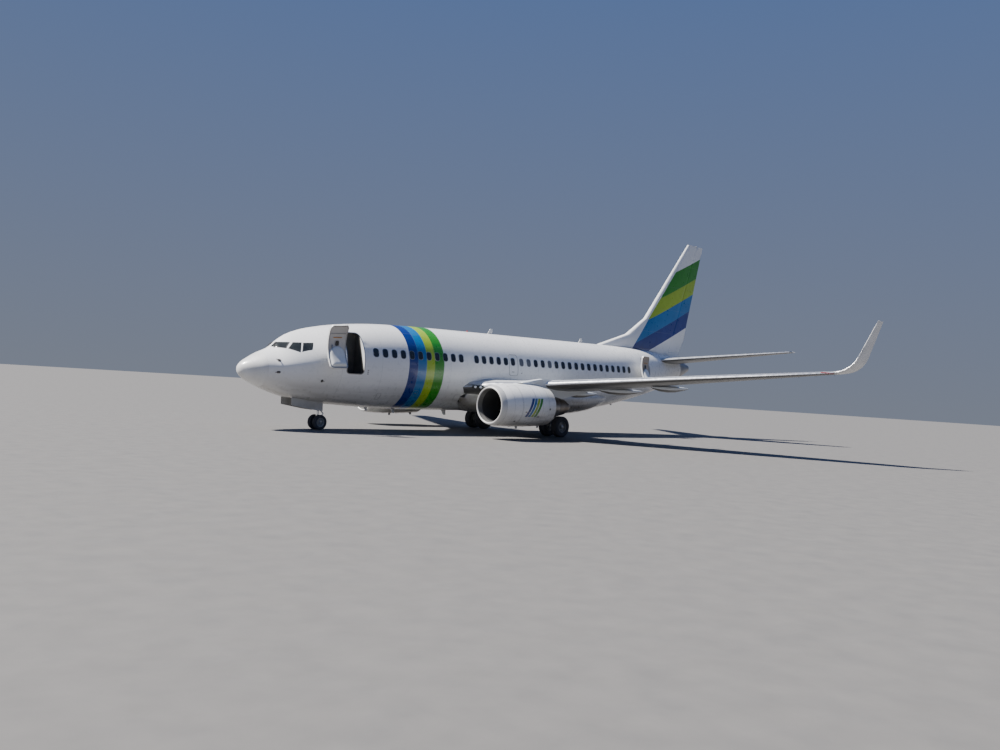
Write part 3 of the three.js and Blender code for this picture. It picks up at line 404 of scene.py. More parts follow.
@dataclass(frozen=True)
class FinPaint(Paint):
    """White tail paint with four slanted bands behind a white front edge."""

    name: str = "fin_paint"
    marks: tuple[float, ...] = (2.75, 3.75, 4.75, 5.7, 6.9)
    slant: float = 0.42
    hub_station: float = 30.3
    lead: tuple[float, float, float] = (3.78, 27.53, 0.838)
    edge: float = 0.34

    def mixed(self, sketch: Sketch) -> bpy.types.Material:
        """The fin's and rudder's paint."""
        station, _, height = sketch.airframe_place()
        colour = sketch.mottled(0.8, 4, WHITE, (0.75, 0.755, 0.76))
        lean = sketch.times(sketch.sum("SUBTRACT", station, self.hub_station), self.slant)
        level = sketch.sum("SUBTRACT", height, lean)
        low, front, slope = self.lead
        aft = sketch.sum("SUBTRACT", station, sketch.sum("MULTIPLY_ADD", height, slope, front - low * slope))
        behind = sketch.ramp(aft, self.edge, 0.006)
        for paint, start, stop in zip(STRIPES, self.marks, self.marks[1:]):
            shown = sketch.times(sketch.band(level, start, stop, 0.006), behind)
            colour = sketch.blend(shown, colour, sketch.aged(paint))
        seams = sketch.band(sketch.sum("PINGPONG", height, 0.75), BELOW_ALL, 0.004)
        colour = sketch.blend(sketch.times(seams, 0.3), colour, SEAM_GREY)
        relief = sketch.sum("SUBTRACT", sketch.times(sketch.noise(1.2, 2), 0.6), seams)
        gloss = sketch.spread(sketch.noise(6, 4), 0.26, 0.4)
        return sketch.surface(colour, gloss, 0, relief, 0.0012, 0.2)


@dataclass(frozen=True)
class CowlPaint(Paint):
    """White cowl with a short slanted flash, seams, soot towards its back edge, and darkening at its bottom
    that is partly drips and partly painted shade.
    """

    name: str = "cowl_paint"
    front: float = 9.95
    flash: float = 1.62
    flash_pitch: float = 0.2
    flash_width: float = 0.16
    joints: tuple[float, ...] = (1.22, 2.52)
    joint_width: float = 0.014

    def mixed(self, sketch: Sketch) -> bpy.types.Material:
        """The cowl's paint."""
        station, side, height = sketch.airframe_place()
        colour = sketch.mottled(1.1, 4, WHITE, (0.72, 0.725, 0.73))
        lean = sketch.times(sketch.sum("ADD", height, 1.65), 0.5)
        level = sketch.sum("SUBTRACT", sketch.sum("SUBTRACT", station, lean), self.front + self.flash)
        tall = sketch.band(height, -2.1, -1.25, 0.01)
        for i, paint in enumerate(STRIPES):
            stripe = sketch.band(level, i * self.flash_pitch, i * self.flash_pitch + self.flash_width)
            colour = sketch.blend(sketch.times(stripe, tall), colour, paint)
        off_middle = sketch.sum("SUBTRACT", sketch.sum("ABSOLUTE", side), ENGINE_SIDE)
        joint = sketch.band(sketch.sum("ABSOLUTE", off_middle), BELOW_ALL, 0.006)
        for mark in self.joints:
            ring = sketch.band(station, self.front + mark, self.front + mark + self.joint_width)
            joint = sketch.sum("MAXIMUM", joint, ring)
        colour = sketch.blend(sketch.times(joint, 0.6), colour, JOINT_GREY)
        streaks = sketch.spread(sketch.noise(3, 5, stretch=(0.3, 1, 1)), 0.0, 0.5)
        soot = sketch.times(sketch.ramp(station, self.front + 2.4, 1.3), streaks)
        colour = sketch.blend(soot, colour, GRIME_AND_SHADE)
        # Darker towards the cowl's bottom: partly drips, partly painted shade.
        streaks = sketch.spread(sketch.noise(2, 2, stretch=(0.3, 1, 1)), 0.25, 0.95)
        drips_and_shade = sketch.times(sketch.ramp(sketch.times(height, -1), 1.5, 0.95), streaks)
        colour = sketch.blend(drips_and_shade, colour, GRIME_AND_SHADE)
        relief = sketch.sum("SUBTRACT", sketch.times(sketch.noise(1.5, 2), 0.5), joint)
        gloss = sketch.spread(sketch.noise(7, 4), 0.24, 0.38)
        return sketch.surface(colour, gloss, 0, relief, 0.0012, 0.25)


@dataclass(frozen=True)
class WingPaint(Paint):
    """Wing skin with a bright leading edge and spanwise seams."""

    name: str = "wing_paint"
    colour: Colour = (0.44, 0.46, 0.48)
    lead: tuple[Colour, ...] = (ROOT_LEAD, (LEAD_SIDE, LEAD_STATION, LEAD_SLOPE))
    bright: float = 0.36
    from_side: float = 2.3
    seam_half: float = 0.008

    def mixed(self, sketch: Sketch) -> bpy.types.Material:
        """The wing's paint, with metal along the front."""
        station, side, _ = sketch.airframe_place()
        out = sketch.sum("ABSOLUTE", side)
        lines = [sketch.sum("MULTIPLY_ADD", out, slope, start - slope * near)
                 for near, start, slope in self.lead]
        first = sketch.sum("MINIMUM", *lines) if len(lines) > 1 else lines[0]
        aft = sketch.sum("SUBTRACT", station, first)
        front = sketch.times(sketch.ramp(sketch.times(aft, -1), -self.bright, 0.01),
                             sketch.ramp(out, self.from_side, 0.02))
        streaks = sketch.spread(sketch.noise(2.5, 6, stretch=(0.3, 2.2, 1)), 0.0, 0.6)
        colour = sketch.blend(streaks, self.colour, tuple(c * 0.72 for c in self.colour))
        ribs = sketch.band(sketch.sum("PINGPONG", out, 0.61), BELOW_ALL, 0.004)
        colour = sketch.blend(sketch.times(ribs, 0.4), colour, JOINT_GREY)
        colour = sketch.blend(front, colour, EDGE_METAL)
        seam = sketch.band(aft, self.bright - self.seam_half, self.bright + self.seam_half)
        colour = sketch.blend(sketch.times(seam, 0.8), colour, SLAT_GREY)
        sketch.feed(sketch.shader.inputs["Metallic"], sketch.times(front, 0.85))
        relief = sketch.sum("SUBTRACT", sketch.times(sketch.noise(1.5, 2), 0.5), ribs)
        gloss = sketch.spread(sketch.noise(6, 4), 0.28, 0.42)
        return sketch.surface(colour, gloss, 0, relief, 0.001, 0.1)


# A near-black copy of the wing paint for faces that look down, with hardly any bright front edge: painted
# shade.
WING_UNDERSIDE_SHADE = WingPaint("wing_underside_painted_shade", (0.115, 0.115, 0.112), bright=0.05)


# Shaping

def face_outward(shape: Shape) -> None:
    """Turns every closed island's faces outward."""
    bmesh.ops.recalc_face_normals(shape, faces=shape.faces)
    left = set(shape.faces)
    while left:
        grown = [left.pop()]
        for face in grown:
            near = {other for edge in face.edges for other in edge.link_faces} & left
            left -= near
            grown += near
        closed = all(len(edge.link_faces) == 2 for face in grown for edge in face.edges)
        volume = sum(face.verts[0].co.dot(b.co.cross(c.co)) for face in grown
                     for b, c in zip(face.verts[1:], face.verts[2:]))
        if closed and volume < 0:
            bmesh.ops.reverse_faces(shape, faces=grown)


def finish_piece(shape: Shape, name: str, finish: object, body: str = BODY, place: Matrix = AIRFRAME,
                 smooth: float = 35.0, replaces: Sequence[str] = (),
                 weld: float = 0.0001) -> bpy.types.Object:
    """Turns a bmesh into a finished piece that rides on a body.

    Args:
        shape: the bmesh, in the frame that place turns into the row frame.
        name: the piece's name.
        finish: a finish or several, by material index.
        body: the CAD body it rides on.
        place: from the bmesh's frame to the row frame.
        smooth: the greatest angle that is shaded smooth, in degrees.
        replaces: CAD nodes that it stands for.
        weld: vertices nearer than this are merged.

    Returns:
        The object.
    """
    if weld:
        bmesh.ops.remove_doubles(shape, verts=shape.verts, dist=weld)
    shape.transform(place)
    face_outward(shape)
    mesh = bpy.data.meshes.new(name)
    for face in shape.faces:
        face.smooth = True
    shape.to_mesh(mesh)
    shape.free()
    mesh.set_sharp_from_angle(angle=math.radians(smooth))
    piece = bpy.data.objects.new(name, mesh)
    bpy.context.scene.collection.objects.link(piece)
    for each in finish if isinstance(finish, (list, tuple)) else [finish]:
        mesh.materials.append(each.material())
    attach(piece, body)
    if replaces:
        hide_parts(*replaces)
    LOG.info("%s: %d faces on %s", name, len(mesh.polygons), body)
    return piece


def sheet_of(columns: int, rows: int, spot: Callable[[float, float], Vector]) -> Shape:
    """A grid laid over a surface.

    Args:
        columns: its squares across.
        rows: its squares along.
        spot: the place of each pair of shares from 0 to 1.

    Returns:
        The bmesh.
    """
    shape = bmesh.new()
    bmesh.ops.create_grid(shape, x_segments=columns, y_segments=rows, size=0.5)
    for vert in shape.verts:
        vert.co = spot(vert.co.x + 0.5, vert.co.y + 0.5)
    return shape


def join_into(shape: Shape, other: Shape, material: int | None = None) -> None:
    """Adds one bmesh to another and frees it.

    Args:
        shape: the bmesh that grows.
        other: the bmesh that is added.
        material: the material index its faces get.
    """
    if material is not None:
        for face in other.faces:
            face.material_index = material
    kept = bpy.data.meshes.new("passing")
    other.to_mesh(kept)
    other.free()
    shape.from_mesh(kept)
    bpy.data.meshes.remove(kept)


def joined(parts: Iterable[Shape]) -> Shape:
    """Several bmeshes as one."""
    whole = bmesh.new()
    for part in parts:
        join_into(whole, part)
    return whole


def shift(along: float, side: float, up: float) -> Matrix:
    """A move by three lengths."""
    return Matrix.Translation((along, side, up))


def drawn_out(shape: Shape, parts: list, by: Sequence[float]) -> list[bmesh.types.BMFace]:
    """Extrudes faces, or edges alone, and moves the new vertices.

    Args:
        shape: the bmesh.
        parts: its faces or its edges.
        by: how far the new vertices move.

    Returns:
        The new faces.
    """
    if isinstance(parts[0], bmesh.types.BMFace):
        made = bmesh.ops.extrude_face_region(shape, geom=parts)["geom"]
    else:
        made = bmesh.ops.extrude_edge_only(shape, edges=parts)["geom"]
    bmesh.ops.translate(shape, vec=by, verts=[v for v in made if isinstance(v, bmesh.types.BMVert)])
    return [f for f in made if isinstance(f, bmesh.types.BMFace)]


def open_edges(shape: Shape) -> list[bmesh.types.BMEdge]:
    """The edges round a sheet's outside."""
    return [edge for edge in shape.edges if edge.is_boundary]


def lathe(profile: Sequence[tuple[float, float]], steps: int = 64, place: Matrix | None = None) -> Shape:
    """Spins a profile about the X axis.

    Args:
        profile: places along the axis and radii.
        steps: the spin's steps.
        place: moves the result.

    Returns:
        The bmesh.
    """
    shape = bmesh.new()
    verts = [shape.verts.new((along, 0, radius)) for along, radius in profile]
    edges = [shape.edges.new(pair) for pair in zip(verts, verts[1:])]
    bmesh.ops.spin(shape, geom=verts + edges, cent=(0, 0, 0), axis=(1, 0, 0), angle=2 * math.pi, steps=steps,
                   use_merge=True)
    bmesh.ops.remove_doubles(shape, verts=shape.verts, dist=0.00005)
    if place is not None:
        shape.transform(place)
    return shape


def tube(points: Sequence[Vector], radius: float, sides: int = 10) -> Shape:
    """A round tube along points, closed at its ends.

    Args:
        points: its centre line.
        radius: its radius.
        sides: its sides.

    Returns:
        The bmesh.
    """
    shape = bmesh.new()
    ring: list[bmesh.types.BMVert] = []
    for i, point in enumerate(points):
        before, after = points[max(0, i - 1)], points[min(len(points) - 1, i + 1)]
        turn = (Vector(after) - Vector(before)).to_track_quat("Z", "Y").to_matrix().to_4x4()
        made = bmesh.ops.create_circle(shape, cap_ends=False, segments=sides, radius=radius,
                                       matrix=Matrix.Translation(point) @ turn)["verts"]
        if ring:
            edges = {e for v in ring + made for e in v.link_edges if len(e.link_faces) < 2}
            near = [e for e in edges if any(all(v in row for v in e.verts) for row in (ring, made))]
            bmesh.ops.bridge_loops(shape, edges=near)
        ring = made
    bmesh.ops.holes_fill(shape, edges=open_edges(shape))
    return shape


def block(size: Sequence[float], place: Matrix, bevel: float = 0.0, segments: int = 2) -> Shape:
    """A block with rounded edges.

    Args:
        size: its length, width and height.
        place: turns and moves it.
        bevel: how far its edges are rounded.
        segments: the rounding's steps.

    Returns:
        The bmesh.
    """
    shape = bmesh.new()
    bmesh.ops.create_cube(shape, size=1.0)
    bmesh.ops.scale(shape, vec=Vector(size), verts=shape.verts)
    if bevel:
        bmesh.ops.bevel(shape, geom=list(shape.edges), offset=bevel, segments=segments, profile=0.5,
                        affect="EDGES", material=-1, clamp_overlap=True)
    shape.transform(place)
    return shape


def rounded_plate(width: float, height: float, radius: float, corner_steps: int = 4) -> Shape:
    """A flat plate in X and Y with round corners, one face.

    Args:
        width: its size along X.
        height: its size along Y.
        radius: its corners' radius.
        corner_steps: each corner's steps.

    Returns:
        The bmesh.
    """
    shape = bmesh.new()
    bmesh.ops.create_grid(shape, x_segments=1, y_segments=1, size=0.5)
    bmesh.ops.scale(shape, vec=(width, height, 1), verts=shape.verts)
    bmesh.ops.bevel(shape, geom=list(shape.verts), offset=radius, segments=corner_steps, profile=0.5,
                    affect="VERTICES", material=-1, clamp_overlap=True)
    return shape


def domed_plate(width: float, height: float, columns: int = 4, rows: int = 6,
                corner: float = 0.45) -> Shape:
    """A gridded plate in X and Y with round corners, so that it follows a curved skin.

    Args:
        width: its size along X.
        height: its size along Y.
        columns: its squares along X.
        rows: its squares along Y.
        corner: how far its corners are drawn in.

    Returns:
        The bmesh.
    """
    def spot(u: float, v: float) -> Vector:
        """A place on the plate from its shares."""
        x, y = 2 * u - 1, 2 * v - 1
        return Vector((width / 2 * x * math.sqrt(1 - corner * y**4 / 2),
                       height / 2 * y * math.sqrt(1 - corner * x**4 / 2), 0))

    return sheet_of(columns, rows, spot)


def cut_long_edges(shape: Shape, longest: float) -> None:
    """Subdivides edges until none is longer than a length.

    Args:
        shape: the bmesh.
        longest: the greatest length.
    """
    for _ in range(7):
        long = [edge for edge in shape.edges if edge.calc_length() > longest]
        if not long:
            return
        bmesh.ops.subdivide_edges(shape, edges=long, cuts=1, use_grid_fill=True)


def frame_ring(width: float, height: float, radius: float, border: float, proud: float,
               longest: float = 0.2) -> Shape:
    """A raised frame in X and Y round a rounded opening.

    Args:
        width: its outer size along X.
        height: its outer size along Y.
        radius: its outer corners' radius.
        border: its width.
        proud: its height along Z.
        longest: its longest edge.

    Returns:
        The bmesh.
    """
    shape = rounded_plate(width, height, radius)
    inner = shape.faces[:]
    bmesh.ops.inset_region(shape, faces=inner, thickness=border, depth=0.0, use_even_offset=True,
                           use_boundary=True)
    bmesh.ops.delete(shape, geom=inner, context="FACES")
    cut_long_edges(shape, longest)
    drawn_out(shape, shape.faces[:], (0, 0, proud))
    return shape


def weld_copy(node: str) -> Shape:
    """A merged copy of a CAD node's mesh, in the row frame."""
    shape = bmesh.new()
    shape.from_mesh(frame["nodes"][node].data)
    bmesh.ops.remove_doubles(shape, verts=shape.verts, dist=0.0002)
    return shape


def body_of(node: str) -> str:
    """The body that a CAD node rides on."""
    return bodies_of(frame["nodes"][node])[0]


def dress(node: str, name: str, finish: object, smooth: float = 35.0, bevel: float = 0.0,
          under: object = None) -> bpy.types.Object:
    """Replaces a CAD node with its own merged, softened copy.

    Args:
        node: the CAD node.
        name: the piece's name.
        finish: its finish.
        smooth: the greatest angle that is shaded smooth.
        bevel: how far sharp edges are rounded.
        under: a darker copy of the finish for what faces the ground, painted shade.

    Returns:
        The piece.
    """
    shape = weld_copy(node)
    # Faces that look down get the second finish, a darker copy: painted shade.
    for face in shape.faces if under else ():
        face.material_index = 1 if face.normal.z < -0.25 else 0
    bmesh.ops.dissolve_degenerate(shape, dist=0.0002, edges=shape.edges)
    if bevel:
        least = math.radians(smooth)
        sharp = [e for e in shape.edges if len(e.link_faces) == 2 and e.calc_face_angle(0) > least]
        bmesh.ops.bevel(shape, geom=sharp, offset=bevel, segments=2, profile=0.5, affect="EDGES", material=-1,
                        clamp_overlap=True)
    finishes = [finish, under] if under else finish
    piece = finish_piece(shape, name, finishes, body_of(node), UPRIGHT, smooth, [node])
    piece.modifiers.new("weighted", "WEIGHTED_NORMAL").keep_sharp = True
    return piece


class Curve:
    """A smooth monotone curve through a table's column."""

    def __init__(self, table: Sequence[Sequence[float]], column: int) -> None:
        """Fits the curve.

        Args:
            table: rows that start with a station.
            column: which column it follows.
        """
        self.xs = [row[0] for row in table]
        self.ys = [row[column] for row in table]
        steps = [(self.ys[i + 1] - self.ys[i]) / (x - self.xs[i]) for i, x in enumerate(self.xs[1:])]
        middle = [0.0 if a * b <= 0 else 2 * a * b / (a + b) for a, b in zip(steps, steps[1:])]
        self.tangents = [steps[0], *middle, steps[-1]]

    def __call__(self, x: float) -> float:
        """The curve's value at a station."""
        last = len(self.xs) - 2
        i = next((k for k in range(last, -1, -1) if x >= self.xs[k]), 0)
        width = self.xs[i + 1] - self.xs[i]
        t = (x - self.xs[i]) / width
        return ((2 * t**3 - 3 * t**2 + 1) * self.ys[i] + (t**3 - 2 * t**2 + t) * width * self.tangents[i]
                + (3 * t**2 - 2 * t**3) * self.ys[i + 1]
                + (t**3 - t**2) * width * self.tangents[i + 1])


@dataclass
class Sided:
    """What stands on one side of the aircraft."""

    hand_name: str

    @property
    def hand(self) -> int:
        """1 for port, -1 for starboard."""
        return SIDES[self.hand_name]


# The body

@dataclass
class Hull:
    """The fuselage's outer form. The table's rows: station, crown, keel, half width, widest height."""

    table: tuple[tuple[float, float, float, float, float], ...] = (
        (0, -0.48, -0.62, 0.07, -0.55), (0.06, -0.37, -0.75, 0.2, -0.545), (0.25, -0.19, -0.93, 0.42, -0.53),
        (0.5, -0.04, -1.07, 0.62, -0.505), (0.95, 0.21, -1.27, 0.9, -0.43), (1.38, 0.42, -1.43, 1.09, -0.38),
        (1.68, 0.7, -1.53, 1.2, -0.34), (2.14, 1.02, -1.66, 1.35, -0.27), (2.43, 1.15, -1.725, 1.43, -0.23),
        (3.02, 1.34, -1.82, 1.57, -0.15), (3.62, 1.47, -1.89, 1.68, -0.09),
        (4.27, 1.585, -1.945, 1.76, -0.045),
        (5.13, 1.695, -2.0, 1.835, -0.015), (7.0, 1.83, -2.095, 1.88, 0), (9.5, 1.88, -2.135, 1.88, 0),
        (20.5, 1.88, -2.135, 1.88, 0), (22.0, 1.88, -1.96, 1.865, 0.03), (23.7, 1.88, -1.72, 1.79, 0.09),
        (25.6, 1.865, -1.37, 1.6, 0.18), (27.8, 1.79, -0.9, 1.24, 0.33), (29.2, 1.67, -0.53, 0.96, 0.47),
        (30.3, 1.57, -0.2, 0.73, 0.6), (31.0, 1.47, 0.02, 0.58, 0.69), (32.4, 1.09, 0.62, 0.24, 0.86))
    power: float = 2.1
    ridge: float = 0.6
    grows: tuple[float, float] = (0.8, 1.6)
    fades: tuple[float, float] = (2.4, 4.8)
    blunt: float = 0.06
    radome_end: float = 0.95
    cone_start: float = 31.0
    end: float = 32.4
    around: int = 128

    def __post_init__(self) -> None:
        """Fits the curves."""
        self.crown, self.keel, self.half, self.level = (Curve(self.table, i) for i in (1, 2, 3, 4))

    def section(self, station: float) -> tuple[float, float, float, float]:
        """Crown, keel, half width and widest height at a station."""
        s = max(station, self.blunt)
        top, low, wide, level = self.crown(s), self.keel(s), self.half(s), self.level(s)
        t = math.sqrt(max(0.0, station) / self.blunt) if station < self.blunt else 1.0
        return level + (top - level) * t, level + (low - level) * t, wide * t, level

    def crown_power(self, station: float) -> float:
        """The power of the crown's outline: 2 for an ellipse, less along the ridge over the flight deck."""
        spans = (self.grows, self.fades)
        shares = [min(1.0, max(0.0, (station - low) / (high - low))) for low, high in spans]
        rise, fall = (t * t * (3 - 2 * t) for t in shares)
        return 2 - self.ridge * rise * (1 - fall)

    def spot(self, station: float, turn: float, proud: float = 0.0) -> Vector:
        """A place on the skin.

        Args:
            station: its distance aft of the nose.
            turn: its angle from the crown towards port.
            proud: how far it stands off the skin.

        Returns:
            The place.
        """
        top, low, wide, level = self.section(station)
        across, up = math.sin(turn), math.cos(turn)
        shape = 2 / (self.crown_power(station) if up >= 0 else self.power)
        side = (wide + proud) * math.copysign(abs(across) ** shape, across)
        reach = (top - level if up >= 0 else level - low) + proud
        return Vector((-station, side, level + reach * math.copysign(abs(up) ** shape, up)))

    def abeam(self, station: float, height: float, hand: int, proud: float = 0.0) -> Vector:
        """A place on the skin's side.

        Args:
            station: its distance aft of the nose.
            height: its height from the cabin's centre line.
            hand: 1 for port, -1 for starboard.
            proud: how far it stands off the skin.

        Returns:
            The place.
        """
        base = self._flank(station, height)
        slope_up = (self._flank(station, height + 0.01) - self._flank(station, height - 0.01)) / 0.02
        slope_aft = (self._flank(station + 0.01, height) - self._flank(station - 0.01, height)) / 0.02
        out = Vector((slope_aft, 1.0, -slope_up)).normalized() * proud
        return Vector((-station + out.x, (base + out.y) * hand, height + out.z))

    def lay(self, shape: Shape, station: float, height: float, hand: int, proud: float = 0.0) -> Shape:
        """Lays a flat shape on the skin's side, with its Z as how far it stands proud.

        Args:
            shape: the flat shape.
            station: its middle's station.
            height: its middle's height.
            hand: 1 for port, -1 for starboard.
            proud: how far all of it is lifted.

        Returns:
            The shape.
        """
        for vert in shape.verts:
            across, up, out = vert.co
            vert.co = self.abeam(station + across, height + up, hand, out + proud)
        return shape

    def _flank(self, station: float, height: float) -> float:
        """Half the width at a station and height."""
        top, low, wide, level = self.section(station)
        above = height >= level
        reach, power = (top - level, self.crown_power(station)) if above else (level - low, self.power)
        share = min(1.0, abs(height - level) / reach)
        return wide * (1 - share**power) ** (1 / power)

    def ahead(self, side: float, height: float, proud: float = 0.0) -> Vector:
        """A place on the nose, by its side and height."""
        near, far = 0.3, 4.0
        for _ in range(28):
            middle = (near + far) / 2
            if self._flank(middle, height) > abs(side) and self.section(middle)[0] > height:
                far = middle
            else:
                near = middle
        return Vector((-far + proud * 0.8, side, height + proud * 0.6))

    def shell(self, start: float, stop: float, step: float) -> Shape:
        """The closed skin between two stations.

        Args:
            start: the front station.
            stop: the back station.
            step: the greatest distance between rings.

        Returns:
            The bmesh.
        """
        marks = [start, *[row[0] for row in self.table if start < row[0] < stop], stop]
        stations: list[float] = []
        for a, b in zip(marks, marks[1:]):
            count = max(1, math.ceil((b - a) / min(step, 0.06 + 0.14 * a + 0.02)))
            stations += [a + (b - a) * i / count for i in range(count)]
        stations.append(stop)
        last = len(stations) - 1
        shape = sheet_of(self.around, last,
                         lambda u, v: self.spot(stations[round(v * last)], u * 2 * math.pi))
        bmesh.ops.remove_doubles(shape, verts=shape.verts, dist=0.0001)
        bmesh.ops.holes_fill(shape, edges=open_edges(shape))
        return shape


HULL = Hull()


class Facing(Enum):
    """How an outline on the skin is given."""

    ABEAM = "station and height"
    AHEAD = "side and height"


@dataclass(frozen=True)
class Pane:
    """A flight-deck pane's corners: aft or outboard last."""

    name: str
    facing: Facing
    corners: tuple[tuple[float, float], ...]


@dataclass
class Fuselage:
    """The pressure hull with its cut-outs, nose cone and tail cone."""

    step: float = 0.45
    panes: tuple[Pane, ...] = (
        Pane("front", Facing.AHEAD, ((0.08, 0.452), (0.07, 0.672), (0.58, 0.688), (0.73, 0.408))),
        Pane("middle", Facing.ABEAM, ((1.885, 0.407), (2.17, 0.691), (2.507, 0.702), (2.29, 0.272))),
        Pane("side", Facing.ABEAM, ((2.359, 0.296), (2.55, 0.69), (2.957, 0.718), (2.81, 0.41))))
    well_radius: float = 0.63

    def build(self) -> None:
        """Builds the hull's pieces."""
        self._skin()
        for name, start, stop, finish in (("radome", 0.0, HULL.radome_end, PLAIN_WHITE),
                                          ("tail_cone", HULL.cone_start, HULL.end, DULL_METAL)):
            shape = HULL.shell(start, stop, 0.1)
            if name == "tail_cone":
                self._open_exhaust(shape)
            finish_piece(shape, name + "_skin", finish, replaces=[name], smooth=30)
        for hand_name, hand in SIDES.items():
            for pane in self.panes:
                self._pane(pane, hand_name, hand)

    def _skin(self) -> None:
        """The hull between the nose and tail cones, with doors and wells cut out."""
        shape = HULL.shell(HULL.radome_end + 0.004, HULL.cone_start - 0.004, self.step)
        piece = finish_piece(shape, "fuselage_skin", SkinPaint(), replaces=["fuselage"], smooth=30)
        tool = bpy.data.objects.new("cutter", self._cutter())
        bpy.context.scene.collection.objects.link(tool)
        cut = piece.modifiers.new("cut_outs", "BOOLEAN")
        cut.operation, cut.solver, cut.object = "DIFFERENCE", "EXACT", tool
        graph = bpy.context.evaluated_depsgraph_get()
        result = bpy.data.meshes.new_from_object(piece.evaluated_get(graph), depsgraph=graph)
        piece.modifiers.clear()
        piece.data = result
        piece.data.materials.clear()
        piece.data.materials.append(SkinPaint().material())
        result.set_sharp_from_angle(angle=math.radians(30))
        bpy.data.objects.remove(tool)

    def _cutter(self) -> bpy.types.Mesh:
        """Everything that is cut from the hull, as one mesh."""
        whole = joined([door.opening(0.0) for door in ENTRY_DOORS])
        join_into(whole, block((2.09, 0.58, 2.0), shift(-3.375, 0, -2.0)))
        for hand in SIDES.values():
            well = bmesh.new()
            bmesh.ops.create_cone(well, cap_ends=True, segments=64, radius1=self.well_radius,
                                  radius2=self.well_radius, depth=1.0,
                                  matrix=shift(-16.64, hand * 0.79, -2.28))
            join_into(whole, well)
        whole.transform(AIRFRAME)
        mesh = bpy.data.meshes.new("cutter")
        whole.to_mesh(mesh)
        whole.free()
        return mesh

    def _open_exhaust(self, shape: Shape) -> None:
        """Sinks the auxiliary unit's exhaust into the tail cone's end."""
        end = [f for f in shape.faces if all(abs(v.co.x + HULL.end) < 0.001 for v in f.verts)]
        bmesh.ops.inset_region(shape, faces=end, thickness=0.06, depth=0, use_even_offset=True)
        drawn_out(shape, end, (0.25, 0, 0))
        bmesh.ops.delete(shape, geom=end, context="FACES")

    def _pane(self, pane: Pane, hand_name: str, hand: int) -> None:
        """One flight-deck pane in its rim."""
        a, b, c, d = (Vector(corner) for corner in pane.corners)
        marks = [0, 0.05, 0.11, *[0.11 + 0.78 * i / 7 for i in range(1, 7)], 0.89, 0.95, 1]

        def spot(u: float, v: float) -> Vector:
            """A place on the pane from its shares across and up."""
            across, up = marks[round(u * 11)], marks[round(v * 11)]
            flat = a.lerp(d, across).lerp(b.lerp(c, across), up)
            inside = min(across, 1 - across, up, 1 - up)
            proud = 0.004 if inside < 0.01 else (0.012 if inside < 0.08 else 0.007)
            if pane.facing is Facing.AHEAD:
                place = HULL.ahead(flat.x, flat.y, proud)
                return Vector((place.x, place.y * hand, place.z))
            return HULL.abeam(flat.x, flat.y, hand, proud)

        shape = sheet_of(11, 11, spot)
        middle = sum((v.co for v in shape.verts), Vector()) / len(shape.verts)
        for face in shape.faces:
            face.material_index = 0 if any(v.is_boundary for v in face.verts) else 1
        inward = Vector((0, -middle.y, -middle.z)).normalized() + Vector((-0.6, 0, 0))
        drawn_out(shape, open_edges(shape), inward * 0.022)
        finish_piece(shape, f"flight_deck_window_{pane.name}_{hand_name}", [BLACK_TRIM, PRESSURE_GLASS],
                     replaces=[f"flight_deck_pane_{pane.name}_{hand_name}"], smooth=50)


